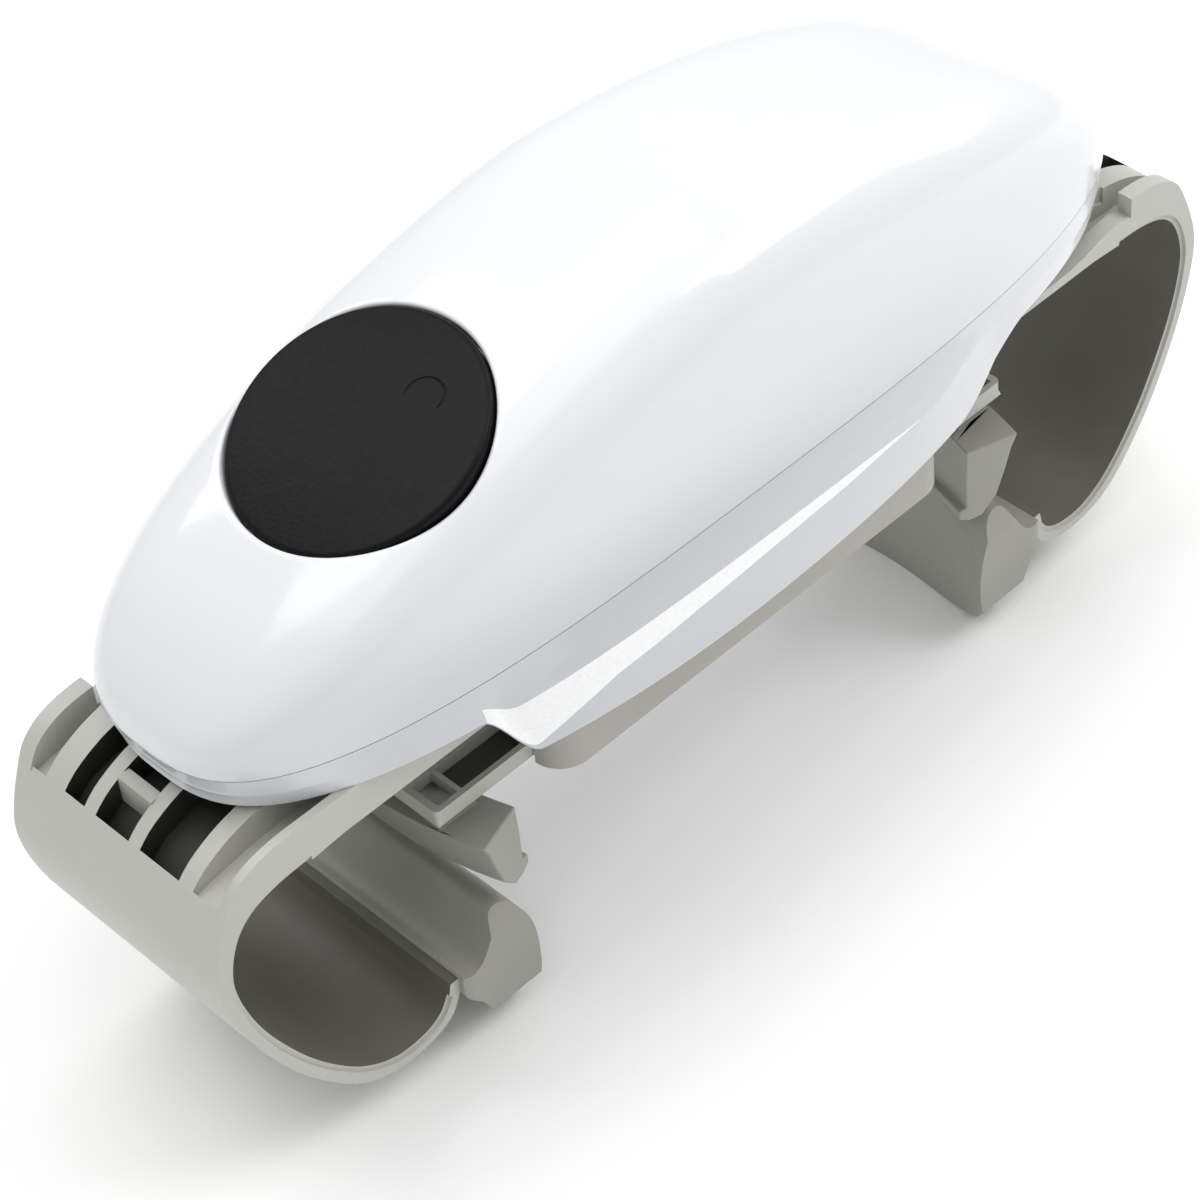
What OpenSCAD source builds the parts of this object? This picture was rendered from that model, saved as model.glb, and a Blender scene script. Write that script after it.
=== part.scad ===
// Electric jar opener: a domed housing with a push button, two C-shaped claws that grip the jar
// and a turntable with two lid jaws that grips and turns the lid.
// X runs along the housing, Z is up, and the jar jaws rest on z = 0.

/* [Housing] */
// Half of the housing's length, at the seam between its two shells
housing_half_length = 95; // [90:0.5:100]
// Half of the housing's width at the seam
housing_half_width = 29.2; // [28.6:0.1:31]
// Height of the dome above the seam
dome_height = 40.5; // [40:0.25:48]
// Height of the seam above the surface that the opener stands on
seam_height = 74.6; // [74:0.1:80]
// Wall of the two housing shells
shell_wall = 2.2; // [1.8:0.1:2.6]
// How much fuller the dome is at its right end, as a share of its height
dome_skew = 0.1; // [0:0.01:0.15]
// Depth of the lower shell's rim below the seam
rim_drop = 6.2; // [5.8:0.1:7]
// How much further the skirts hang down than the rim
skirt_drop = 7.8; // [5:0.1:8.5]
// How far the skirts flare out beyond the rim
skirt_flare = 4.9; // [3:0.1:6]

/* [Button] */
// Radius of the push button
button_radius = 20.1; // [17:0.1:21]
// Place of the button's centre along the housing
button_x = -50.3; // [-52:0.1:-48]
// Tilt of the button towards the left end
button_tilt = 22; // [20:0.5:24]
// Travel of the button
button_travel = 1.6; // [1:0.1:2]

/* [Claws] */
// Half of the width of a claw across the opener
claw_half_width = 22.8; // [22:0.1:24]
// Wall under the claw's pockets
pocket_floor = 1.4; // [1:0.1:1.8]
// Travel of each claw towards the middle
claw_travel = 30; // [20:1:30]

/* [Turntable] */
// Half of the turntable block's length
block_half_length = 42.5; // [40:0.5:44]
// Half of the turntable block's width
block_half_width = 25; // [24:0.25:27]
// Depth of the turntable block
block_depth = 15.9; // [15:0.1:17]
// Wall of the turntable block
block_wall = 2; // [1.6:0.1:2.4]
// Travel of each lid jaw towards the middle
lid_travel = 25; // [15:1:25]

/* [Drive] */
// Module of the planetary gears
planet_module = 0.8; // [0.8:0.02:0.84]
// Teeth on the sun gear
sun_teeth = 12; // [12:6:12]
// Teeth on each planet gear
planet_teeth = 18; // [18:6:18]
// Face width of the planetary gears
planet_face = 4; // [3.6:0.1:4.2]
// Module of the two racks and their pinions
rack_module = 1; // [0.95:0.01:1.02]
// Teeth on the pinion that moves the claws
outer_pinion_teeth = 14; // [14:1:14]
// Teeth on the pinion that moves the lid jaws
lid_pinion_teeth = 12; // [12:1:12]
// Radius of the main shaft
shaft_radius = 2.5; // [2.3:0.05:2.6]
// Module of the gear train's slow stages
train_module = 0.6; // [0.58:0.01:0.61]
// Module of the gear train's first stage
motor_module = 0.5; // [0.48:0.01:0.51]
// Face width of the gear train
train_face = 2; // [1.8:0.1:2.1]

/* [Motor and batteries] */
// Radius of the motor can
motor_radius = 10; // [9:0.1:10.5]
// Length of the motor can
motor_length = 21; // [19:0.25:21.5]
// Radius of a battery cell
cell_radius = 7.1; // [6.9:0.05:7.2]
// Length of a battery cell's can
cell_length = 49; // [46:0.25:50]

/* [Fits] */
// Radial running clearance of shafts and pins
run_gap = 0.05; // [0.03:0.01:0.08]
// Gap between flat faces that slide over each other
slide_gap = 0.3; // [0.2:0.05:0.35]
// Gap between the battery door and its opening
door_gap = 0.3; // [0.2:0.05:0.5]

/* [Hidden] */
$fn = 48;

// Plan and section exponents of the housing
plan_n = 3.07;
section_n = 3.72;
profile_p = 1.58;
profile_q = 1.67;
rim_n = 2.8;
// The rim's lower edge is a little shorter and wider than the seam
rim_half_length = housing_half_length - 1.6;
rim_half_width = housing_half_width + 1.9;
// The skirts' ends: an abrupt notch on the left and a long taper on the right
notch_start = -57.5;
notch_end = -50.5;
taper_start = 38;
taper_end = 58;
crease_y = rim_half_width + 1.9;
// How much of the dome and shells is drawn
dome_stations = 44;
dome_facets = 18;

// Levels below, measured from the seam
floor_low = -rim_drop;
floor_thick = 2;
floor_top = floor_low + floor_thick;
rail_top = floor_low - slide_gap;
rail_low = rail_top - 7;
guide_top = rail_low - slide_gap;
guide_thick = 2.3;
guide_low = guide_top - guide_thick;
block_top = guide_low - slide_gap;
block_low = block_top - block_depth;
cover_thick = 1;
slider_low = block_low + cover_thick + slide_gap;
slider_high = slider_low + 3;

// Gearbox levels
carrier_thick = 2;
carrier_low = floor_top + 0.2;
planet_low = carrier_low + carrier_thick + 0.3;
planet_top = planet_low + planet_face;
stage_3 = planet_top + 0.9;
stage_2 = stage_3 + train_face + 0.4;
stage_1 = stage_2 + train_face + 0.6;
plate_low = stage_1 + train_face + 1;
plate_thick = 2;
plate_top = plate_low + plate_thick;

// Planetary sizes
ring_teeth = sun_teeth + 2 * planet_teeth;
planet_orbit = planet_module * (sun_teeth + planet_teeth) / 2;
ring_radius = planet_module * ring_teeth / 2 + 2.8;
carrier_radius = planet_orbit + 3;
pin_radius = 1.5;
// Train teeth and axes
wheel_3_teeth = 36;
pinion_3_teeth = 12;
wheel_2_teeth = 36;
pinion_2_teeth = 10;
wheel_1_teeth = 40;
pinion_1_teeth = 10;
reach_3 = train_module * (wheel_3_teeth + pinion_3_teeth) / 2;
reach_2 = train_module * (wheel_2_teeth + pinion_2_teeth) / 2;
reach_1 = motor_module * (wheel_1_teeth + pinion_1_teeth) / 2;
gear_2_at = [0, reach_3];
gear_1_turn = 193;
gear_1_at = gear_2_at + reach_2 * [cos(gear_1_turn), sin(gear_1_turn)];
motor_turn = -64.2;
motor_at = gear_1_at + reach_1 * [cos(motor_turn), sin(motor_turn)];
// The left posts stand further out, clear of the first gear
post_at = [for (x = [-ring_radius - 6, ring_radius + 3], sy = [-1, 1]) [x, sy * 12.5]];
post_radius = 3;
gear_pin_radius = 1.2;

// Claws
rail_thick = 2.8;
rail_end = claw_travel + 3;
root_in = 70;
root_thick = 3;
tongue_width = 4;
tongue_end = 7.5;
outer_pitch = rack_module * outer_pinion_teeth / 2;
lid_pitch = rack_module * lid_pinion_teeth / 2;
jaw_x = 65.2;
jaw_face_x = 50.2;
jaw_depth = 18.6;

// Lid sliders and jaws
slider_reach = 61.5;
lid_rail_end = lid_travel + 3;
slider_half = 19.2;
slider_rail = 4;
lid_tongue_end = 5.5;
lid_tongue_width = 4;
lid_jaw_radius = 82;
lid_jaw_back = 63.4;
lid_jaw_sag = 2;

grey = [0.74, 0.74, 0.69];
white = [0.93, 0.93, 0.95];
dark = [0.12, 0.12, 0.13];
steel = [0.66, 0.67, 0.7];
brass = [0.8, 0.68, 0.38];
nylon = [0.9, 0.89, 0.84];

// ---------- Shared forms ----------

module at_seam() {
    translate([0, 0, seam_height]) children();
}

function sgn_pow(v, p) = sign(v) * pow(abs(v), p);
function smooth(t) = t <= 0 ? 0 : t >= 1 ? 1 : t * t * (3 - 2 * t);

// A smooth curve through a few points, with some steps between each two
function spline_at(p0, p1, p2, p3, t) = 0.5 * (2 * p1 + (p2 - p0) * t
    + (2 * p0 - 5 * p1 + 4 * p2 - p3) * t * t + (3 * p1 - 3 * p2 + p3 - p0) * t * t * t);
function curve(p, steps = 4) = let (n = len(p)) concat(
    [for (i = [0 : n - 2], s = [0 : steps - 1])
        spline_at(p[max(i - 1, 0)], p[i], p[i + 1], p[min(i + 2, n - 1)], s / steps)],
    [p[n - 1]]);
function loop_curve(p, steps = 4) = let (n = len(p))
    [for (i = [0 : n - 1], s = [0 : steps - 1])
        spline_at(p[(i + n - 1) % n], p[i], p[(i + 1) % n], p[(i + 2) % n], s / steps)];
function flip(p) = [for (i = [len(p) - 1 : -1 : 0]) p[i]];

// A polygon in X and Z, pulled along Y from y0 to y1
module side_prism(outline, y0, y1) {
    translate([0, y1, 0]) rotate([90, 0, 0]) linear_extrude(y1 - y0) polygon(outline);
}

module box(low, high) {
    translate(low) cube(high - low);
}

module round_plate(half_x, half_y, r, low, high) {
    translate([0, 0, low]) linear_extrude(high - low) round_rect(half_x, half_y, r);
}

module round_rect(half_x, half_y, r) {
    square([2 * half_x, 2 * (half_y - r)], center = true);
    square([2 * (half_x - r), 2 * half_y], center = true);
    for (sx = [-1, 1], sy = [-1, 1])
        translate([sx * (half_x - r), sy * (half_y - r)]) circle(r);
}

module rod(r, low, high) {
    translate([0, 0, low]) cylinder(r = r, h = high - low);
}

module half_turn() {
    rotate([0, 0, 180]) children();
}

// A flat spur gear: straight-flanked teeth, thinned a little for backlash
function tooth_half(m, teeth) = 90 / teeth - 0.07 / (m * teeth / 2) * 57.3;
function gear_points(m, teeth, phase) = let (r = m * teeth / 2, w = tooth_half(m, teeth))
    [for (i = [0 : teeth - 1], k = [0 : 5])
        let (a = phase + i * 360 / teeth,
            d = [-1.72, -1, -0.36, 0.36, 1, 1.72][k],
            q = [r - 1.2 * m, r, r + 0.85 * m, r + 0.85 * m, r, r - 1.2 * m][k])
        q * [cos(a + d * w), sin(a + d * w)]];
function ring_points(m, teeth, phase) = let (r = m * teeth / 2, w = tooth_half(m, teeth))
    [for (i = [0 : teeth - 1], k = [0 : 5])
        let (a = phase + i * 360 / teeth,
            d = [-1.45, -1, -0.5, 0.5, 1, 1.45][k],
            q = [r + 1.2 * m, r, r - 0.75 * m, r - 0.75 * m, r, r + 1.2 * m][k])
        q * [cos(a + d * w), sin(a + d * w)]];

module gear(m, teeth, phase, low, high) {
    translate([0, 0, low]) linear_extrude(high - low) polygon(gear_points(m, teeth, phase));
}

// A rack along X whose teeth point to +Y, with the pitch line at y = 0 and a gap at x = 0
module rack(m, x0, x1, back, low, high) {
    pitch = PI * m;
    n0 = ceil((x0 + pitch / 2) / pitch);
    n1 = floor((x1 - pitch / 2) / pitch) - 1;
    translate([0, 0, low]) linear_extrude(high - low) {
        translate([x0, -back]) square([x1 - x0, back - 1.2 * m]);
        for (i = [n0 : n1]) translate([(i + 0.5) * pitch, 0])
            polygon([[-0.43 * pitch, -1.21 * m], [-0.23 * pitch, 0], [-0.1 * pitch, 0.85 * m],
                [0.1 * pitch, 0.85 * m], [0.23 * pitch, 0], [0.43 * pitch, -1.21 * m]]);
    }
}

module pan_screw(r, length) {
    rod(r, -length, 0.01);
    difference() {
        rod(1.9 * r, 0, r);
        for (a = [0, 90]) rotate([0, 0, a])
            box([-1.2 * r, -0.22 * r, 0.5 * r], [1.2 * r, 0.22 * r, 2 * r]);
    }
}

// ---------- Housing ----------

function plan_x(t, a) = -a * sgn_pow(cos(t), 2 / plan_n);
function plan_y(t, b) = b * pow(abs(sin(t)), 2 / plan_n);
function dome_top(x, a, h) = h * (1 + dome_skew * x / a)
    * pow(max(1 - pow(abs(x / a), profile_p), 0), 1 / profile_q);
function dome_section(t, a, b, h, m, base) = [for (j = [0 : m]) let (u = 180 * j / m)
    [plan_x(t, a), plan_y(t, b) * sgn_pow(cos(u), 2 / section_n),
        j == 0 || j == m ? base : dome_top(plan_x(t, a), a, h) * pow(sin(u), 2 / section_n)]];

// The dome above the seam, or above a base just below it: sections joined from end to end
module dome_solid(inset, base) {
    a = housing_half_length - inset;
    b = housing_half_width - inset;
    h = dome_height - inset;
    n = dome_stations;
    k = dome_facets + 1;
    last = (n - 2) * k;
    left = (n - 1) * k;
    right = left + 1;
    points = concat([for (i = [1 : n - 1]) each dome_section(180 * i / n, a, b, h, dome_facets, base)],
        [[-a, 0, base], [a, 0, base]]);
    faces = concat(
        [for (i = [0 : n - 3], j = [0 : k - 2])
            each quad((i + 1) * k + j, (i + 1) * k + j + 1, i * k + j + 1, i * k + j)],
        [for (i = [0 : n - 3]) each quad(i * k, i * k + k - 1, (i + 1) * k + k - 1, (i + 1) * k)],
        [for (j = [0 : k - 2]) [left, j, j + 1]],
        [[left, k - 1, 0]],
        [for (j = [0 : k - 2]) [right, last + j + 1, last + j]],
        [[right, last, last + k - 1]]);
    polyhedron(points, faces);
}

function quad(a, b, c, d) = [[a, b, c], [a, c, d]];

// Places its children on the button's axis, with z = 0 on the chord of the dome there
button_seat = dome_top(button_x, housing_half_length, dome_height) - 1.2;
module on_button() {
    translate([button_x, 0, button_seat]) rotate([0, -button_tilt, 0]) children();
}

door_low = [26, 1.5];
door_high = [72, 15];
module door_block(gap) {
    translate([0, 60, 0]) rotate([90, 0, 0]) linear_extrude(60)
        translate((door_low + door_high) / 2)
            round_rect((door_high[0] - door_low[0]) / 2 - gap, (door_high[1] - door_low[1]) / 2 - gap, 2);
}

well_depth = 7;
well_wall = 1.6;

module top_cover() at_seam() color(white) {
    difference() {
        dome_solid(0, 0);
        difference() {
            dome_solid(shell_wall, -1);
            on_button() rod(button_radius + slide_gap + well_wall, -well_depth, 30);
        }
        on_button() rod(button_radius + slide_gap, -well_depth + well_wall, 30);
        on_button() rod(button_radius - 4, -20, 30);
        door_block(0);
    }
    // Screw posts that the lower shell's screws reach
    for (p = cover_screws) difference() {
        intersection() {
            translate(p) rod(3, floor_top + 0.1, dome_height + 5);
            dome_solid(shell_wall / 2, floor_top);
        }
        translate(p) rod(screw_radius, floor_top - 1, 5);
    }
    // Posts under the button's well that carry the circuit board
    on_button() for (s = [-1, 1]) translate([s * board_post_x, 0]) rod(2.2, board_top, -well_depth + 0.5);
}

screw_radius = 1.3;
cover_screw_y = housing_half_width - 9.7;
cover_screws = [[-housing_half_length + 18, 0], [-30, cover_screw_y], [-30, -cover_screw_y],
    [housing_half_length - 7, 0]];

// Lower shell: seam, rim, crease and skirt edge of each station round the plan
function left_part(x) = smooth((x - notch_start) / (notch_end - notch_start));
function skirt_part(x) = left_part(x) * smooth((taper_end - x) / (taper_end - taper_start));
function flare_at(x) = skirt_flare * left_part(x) * max(1 - pow((x + 13) / 62, 2), 0);
function crease_part(x) = left_part(x) * smooth((taper_end - 8 - x) / 24);
function crease_z(x) = -5.1 + 4.5 * exp(-max(x - notch_start - 3.5, 0) / 16);
function rim_y(x, inset) = (rim_half_width - inset)
    * pow(max(1 - pow(abs(x) / (rim_half_length - inset), rim_n), 0), 1 / rim_n);
function shell_levels(t, inset) = let (
    a = housing_half_length - inset,
    b = housing_half_width - inset,
    s = sin(t) < 0 ? -1 : 1,
    x = plan_x(t, a),
    seam_y = plan_y(t, b),
    rx = x * (rim_half_length - inset) / a,
    ry = rim_y(rx, inset),
    mid = (seam_y + ry) / 2 + 0.25,
    cy = mid + (crease_y - inset - mid) * crease_part(rx),
    cz = -3.6 + (crease_z(rx) + 3.6) * crease_part(rx),
    ey = ry + flare_at(rx),
    ez = floor_low - skirt_drop * skirt_part(rx),
    hy = cy + (ey - cy) * 0.35,
    hz = cz + (ez - cz) * 0.5)
    [[x, s * seam_y, 0],
     [x * 0.7 + rx * 0.3, s * (seam_y + (cy - seam_y) * 0.3), cz * 0.32],
     [x * 0.4 + rx * 0.6, s * (seam_y + (cy - seam_y) * 0.93), cz * 0.8],
     [x * 0.35 + rx * 0.65, s * cy, cz],
     [rx, s * hy, hz],
     [rx, s * ey, ez]];
shell_angles = concat([for (i = [0 : 11]) 4 + 56 * i / 12], [for (i = [0 : 9]) 60 + i],
    [for (i = [0 : 21]) 70 + 106 * i / 21]);
shell_ring = concat([0], shell_angles, [180], [for (t = flip(shell_angles)) -t]);

module shell_loft(inset, drop) {
    n = len(shell_ring);
    levels = 6;
    points = [for (t = shell_ring) each let (p = shell_levels(t, inset))
        [for (j = [0 : levels - 1]) p[j] + [0, 0, j == 0 ? drop : j == levels - 1 ? -drop : 0]]];
    function id(i, j) = (i % n) * levels + j;
    faces = concat(
        [for (i = [0 : n - 1], j = [0 : levels - 2])
            each quad(id(i, j), id(i, j + 1), id(i + 1, j + 1), id(i + 1, j))],
        [for (i = [0 : n / 2 - 1]) each cap_quad(id(i, 0), id(i + 1, 0), id(n - i - 1, 0),
            id(n - i, 0), i)],
        [for (i = [0 : n / 2 - 1]) each flip_faces(cap_quad(id(i, 5), id(i + 1, 5), id(n - i - 1, 5),
            id(n - i, 5), i))]);
    polyhedron(points, faces);
}
function cap_quad(a, b, c, d, i) = concat(b == c ? [] : [[a, b, c]], a == d ? [] : [[a, c, d]]);
function flip_faces(f) = [for (q = f) [q[2], q[1], q[0]]];

function plan_outline(a, b, n, count) = [for (i = [0 : count - 1]) let (t = 360 * i / count)
    [a * sgn_pow(cos(t), 2 / n), b * sgn_pow(sin(t), 2 / n)]];

guide_screw_at = [for (sx = [-1, 1], sy = [-1, 1]) [sx * 34, sy * 27.2]];
guide_half_length = 42;
guide_half_width = 29.4;
rail_gap = 0.35;

module lower_shell() at_seam() color(white) {
    difference() {
        union() {
            difference() {
                shell_loft(0, 0);
                shell_loft(shell_wall, 1);
            }
            // Floor over the claw rails
            translate([0, 0, floor_low]) linear_extrude(floor_thick)
                polygon(plan_outline(housing_half_length - shell_wall - 0.6,
                    housing_half_width - shell_wall + 1, plan_n, 72));
            // Ribs that guide the claw rails, and the bosses of the guide plate
            for (s = [-1, 1]) box([-guide_half_length,
                s > 0 ? claw_half_width + rail_gap : -claw_half_width - rail_gap - 2, guide_top],
                [guide_half_length,
                s > 0 ? claw_half_width + rail_gap + 2 : -claw_half_width - rail_gap, floor_top]);
            for (p = guide_screw_at) translate(p) rod(2.6, guide_top, floor_top);
            // Collar round the ring gear and the gearbox posts
            rod(ring_radius + 2, floor_top - 1, floor_top + 5);
            for (p = post_at) translate(p) rod(post_radius, floor_top - 1, plate_low);
            // Stops between the batteries
            for (x = [cell_start - contact_room - 1.5, cell_start + cell_length + contact_room])
                box([x, -6, floor_top - 1], [x + 1.5, 6, floor_top + 5]);
        }
        rod(ring_radius, floor_top, floor_top + 8);
        rod(shaft_radius + run_gap, floor_low - 1, floor_top + 1);
        for (p = post_at) translate(p) rod(screw_radius, plate_low - 7, plate_low + 1);
        for (p = guide_screw_at) translate(p) rod(screw_radius, guide_top - 1, floor_top - 0.6);
        for (p = cover_screws) translate(p) {
            rod(screw_radius + 0.3, floor_low - 1, floor_top + 1);
            rod(2.7, floor_low - 1, floor_low + 1.4);
        }
    }
}

module button() at_seam() color(dark) on_button() {
    r = button_radius;
    crown = 1.1;
    rotate_extrude($fn = 96) polygon(concat([[0, -1.9]], [[r - 1.6, -1.9]], [[r - 1.6, -3.2]],
        [[r, -3.2]],
        [for (i = [0 : 4]) let (u = 90 * i / 4) [r - 0.8 + 0.8 * cos(u), -0.9 + 0.8 * sin(u)]],
        [for (i = [5 : -1 : 0]) [r * 0.93 * i / 5, crown * (1 - pow(i / 5, 2)) - 0.05]]));
    rod(2.2, -stem_length, -1.8);
}

stem_length = 7.5;
switch_top = -stem_length - button_travel - 0.1;

// ---------- Claws ----------

claw_outer = [[-101.8, -13], [-104.1, -19], [-105.3, -25], [-104.4, -32], [-101.2, -41.5], [-95.6, -52.4],
    [-89.4, -60.7], [-84, -65.6], [-78, -67.8], [-72, -67.7], [-67.4, -65.7], [-jaw_x, -61.8]];
claw_inner = [[-86, rail_low - 0.5], [-92, -14.4], [-97.2, -16], [-100.6, -19.6], [-102.4, -26],
    [-101.4, -33.2],
    [-98.5, -41.4], [-93.2, -51.3], [-87.6, -58.8], [-82.8, -63.2], [-77.8, -65.5], [-72.6, -65.5],
        [-69.2, -63.9], [-67.3, -61]];
claw_top = [[-90, rail_top], [-93.6, rail_top - 0.4], [-96.4, rail_top - 1.2], [-98.8, rail_top - 2.5],
    [-100.6, rail_top - 4.3], [-101.8, -13]];
rib_top = [[-60, rail_top - 0.6], [-86, rail_top - 0.6], [-91, rail_top - 1.1], [-95, rail_top - 2.3],
    [-99.2, rail_top - 4.5], [-102.4, -14]];
// The pockets across the claw: low and high side, and how deep each is cut
pockets = [[-21.4, -15.5, 1], [-12.5, -4, 0], [-1.5, 5.8, 0], [8.3, 12.7, 0], [17, 20, 1]];
cut_edge = [[-60, -11.9], [-66.9, -11.9], [-74, -11.7], [-77.7, -11.1], [-81.3, -10], [-86.2, -9.4],
    [-88.9, -10.2]];

module outer_arm(side) {
    body = concat([[-root_in, rail_low]], [[-root_in, rail_top]], curve(claw_top, 3),
        curve(claw_outer, 5), [[-jaw_x, -58.9]], [[-jaw_x - 1.6, -58.9]], flip(curve(claw_inner, 5)),
            [[-80, rail_low]]);
    floor_line = concat([[-root_in - root_thick, rail_low + pocket_floor],
        [-84, rail_low + pocket_floor]],
        [[-92, -12.9], [-96.8, -14.2], [-101.2, -17.4]]);
    slope_line = concat([[-root_in - root_thick, rail_low + pocket_floor],
        [-84, rail_low + pocket_floor]],
        [[-92, -12.7], [-101.4, -14.2]]);
    difference() {
        union() {
            side_prism(body, -claw_half_width, claw_half_width);
            // Rails on both sides, and the tongue with the rack
            for (s = [-1, 1])
                box([-root_in - 1, s > 0 ? claw_half_width - rail_thick : -claw_half_width, rail_low],
                    [-rail_end, s > 0 ? claw_half_width : -claw_half_width + rail_thick, rail_top]);
            translate([0, side * outer_pitch, 0]) mirror([0, side > 0 ? 1 : 0, 0])
                rack(rack_module, -root_in - 1, tongue_end, tongue_width, rail_low, rail_top);
        }
        // Ribs stand lower than the two side walls
        side_prism(concat(curve(rib_top, 3), [[-103.5, -14], [-103.5, 0], [-60, 0]]), -21.4, 20);
        for (p = pockets) side_prism(concat(p[2] > 0 ? slope_line : floor_line,
            [[-101.4, -13], [-101.4, 0],
            [-root_in - root_thick, 0]]), p[0], p[1]);
        // The side wall that is cut down behind its peak
        side_prism(concat(cut_edge, [[-88.9, 0], [-60, 0]]), 16.5, claw_half_width + 1);
        // A fine step along the band's edges
        for (s = [-1, 1]) side_prism(concat(curve(claw_inner, 5), flip(claw_lining)),
            s > 0 ? claw_half_width - 0.5 : -claw_half_width - 1,
                s > 0 ? claw_half_width + 1 : -claw_half_width + 0.5);
    }
    // Crosspiece in the middle pocket
    box([-96.6, -1.6, rail_low - 0.4], [-94.4, 5.9, rail_top - 2.5]);
}
claw_lining = [for (p = curve(claw_inner, 5))
    p + 0.9 * [p[0] + 84, p[1] + 40] / norm([p[0] + 84, p[1] + 40])];

module outer_arm_left() at_seam() color(grey) outer_arm(1);
module outer_arm_right() at_seam() color(grey) half_turn() outer_arm(1);

// The jaw's foot is what the opener stands on
jaw_foot = -seam_height;
jaw_side = [[-jaw_x, -58.6], [-65, -62.6], [-62.6, -65.4], [-60.6, -69.2], [-58.2, -73],
    [-56.4, jaw_foot], [-54, jaw_foot],
    [-51.8, -72.2], [-50.5, -68], [-jaw_face_x, -63.5], [-50.9, -57.5], [-52.8, -52.6], [-55, -50.6],
        [-57.6, -50.8],
    [-59.2, -54], [-61.4, -57.4], [-63.4, -58.4]];
jaw_half = 24.4;
jaw_nose = 3.2;

module jar_jaw() {
    face_sag = 4.2;
    face_r = (jaw_half * jaw_half + face_sag * face_sag) / (2 * face_sag);
    difference() {
        intersection() {
            side_prism([for (p = loop_curve(jaw_side, 4)) [max(p[0], -jaw_x), max(p[1], jaw_foot)]],
                -30, 30);
            translate([0, 0, -80]) linear_extrude(40) difference() {
                translate([-jaw_x - 1.3 + jaw_depth / 2, 0])
                    round_rect(jaw_depth / 2, jaw_half, jaw_nose);
                translate([-jaw_face_x - face_sag + face_r, 0]) circle(r = face_r, $fn = 180);
            }
            rotate([90, 0, 90]) translate([0, 0, -70]) linear_extrude(30)
                polygon(concat([for (s = [-1, 1]) [s * (jaw_half - 2.4), -50]],
                    [[jaw_half, -54], [jaw_half, -69], [jaw_half - 3, -73], [jaw_half - 8, jaw_foot]],
                    [[-jaw_half + 8, jaw_foot], [-jaw_half + 3, -73], [-jaw_half, -69],
                        [-jaw_half, -54]]));
        }
        // Grooves in the gripping face
        for (s = [-1, 1]) box([-52.2, s * 16.5 - 0.8, -69], [-48, s * 16.5 + 0.8, -54]);
        // Relief behind the plate, so that only its ends are thick
        side_prism([[-66, -66.5], [-58.8, -66.5], [-57.6, -76], [-66, -76]], -jaw_half + 9, jaw_half - 9);
    }
}

module jar_jaw_left() at_seam() color(grey) jar_jaw();
module jar_jaw_right() at_seam() color(grey) half_turn() jar_jaw();

// ---------- Guide plate, outer pinion ----------

module guide_plate() at_seam() color(nylon) difference() {
    round_plate(guide_half_length, guide_half_width, 4, guide_low, guide_top);
    rod(shaft_radius + run_gap, guide_low - 1, guide_top + 1);
    for (p = guide_screw_at) translate(p) {
        rod(screw_radius + 0.3, guide_low - 1, guide_top + 1);
        rod(2.7, guide_low - 1, guide_low + 1.5);
    }
}

module outer_pinion() at_seam() color(nylon) difference() {
    gear(rack_module, outer_pinion_teeth, 90, rail_low + 0.2, rail_top - 0.2);
    rod(shaft_radius + run_gap, rail_low - 1, rail_top + 1);
}

// ---------- Turntable ----------

block_screw_at = [for (sx = [-1, 1], sy = [-1, 1]) [sx * 38.5, sy * 21.5]];
hub_radius = 6;
block_deck = slider_high + slide_gap;

module turntable() at_seam() color(grey) difference() {
    union() {
        difference() {
            round_plate(block_half_length, block_half_width, 5.5, block_low, block_top);
            round_plate(block_half_length - block_wall, block_half_width - block_wall, 3.5,
                block_low - 1, block_deck);
            round_plate(block_half_length - block_wall, block_half_width - block_wall, 3.5,
                block_deck + 2, block_top - 2);
        }
        rod(hub_radius, block_deck, block_top);
        for (p = block_screw_at) translate(p) rod(2, block_low + cover_thick, block_deck + 0.5);
        for (sx = [-1, 1]) box([sx * 24 - 1, -block_half_width + 1, block_deck + 1],
            [sx * 24 + 1, block_half_width - 1, block_top - 1]);
    }
    // Mouths for the sliders at both ends
    for (s = [-1, 1]) box([s > 0 ? block_half_length - 4 : -block_half_length - 1,
        -slider_half - slide_gap, block_low - 1],
        [s > 0 ? block_half_length + 1 : -block_half_length + 4, slider_half + slide_gap, block_deck]);
    rod(shaft_radius, block_deck - 1, block_top + 1);
    for (p = block_screw_at) translate(p) rod(screw_radius - 0.3, block_low, block_deck - 0.2);
}

module turntable_cover() at_seam() color(steel) difference() {
    round_plate(block_half_length - block_wall, block_half_width - block_wall, 3.5, block_low,
        block_low + cover_thick);
    for (p = block_screw_at) translate(p) rod(screw_radius, block_low - 1, block_low + 2);
    rod(1.5 + run_gap, block_low - 1, block_low + 2);
    // Slots that the lid jaws' clips run in
    for (sx = [-1, 1], sy = [-1, 1])
        translate([sx * (block_half_length + lid_clip_in - lid_travel - 0.5) / 2, sy * lid_clip_y])
        box([-(block_half_length - lid_clip_in + lid_travel + 0.5) / 2, -lid_clip_half - slide_gap,
            block_low - 1],
            [(block_half_length - lid_clip_in + lid_travel + 0.5) / 2, lid_clip_half + slide_gap,
                block_low + 2]);
}

module lid_pinion() at_seam() color(nylon) difference() {
    union() {
        gear(rack_module, lid_pinion_teeth, 90, slider_low + 0.1, slider_high - 0.1);
        rod(1.5, block_low, slider_low + 0.2);
    }
    rod(shaft_radius + run_gap, slider_low + 0.6, slider_high + 1);
}

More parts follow.
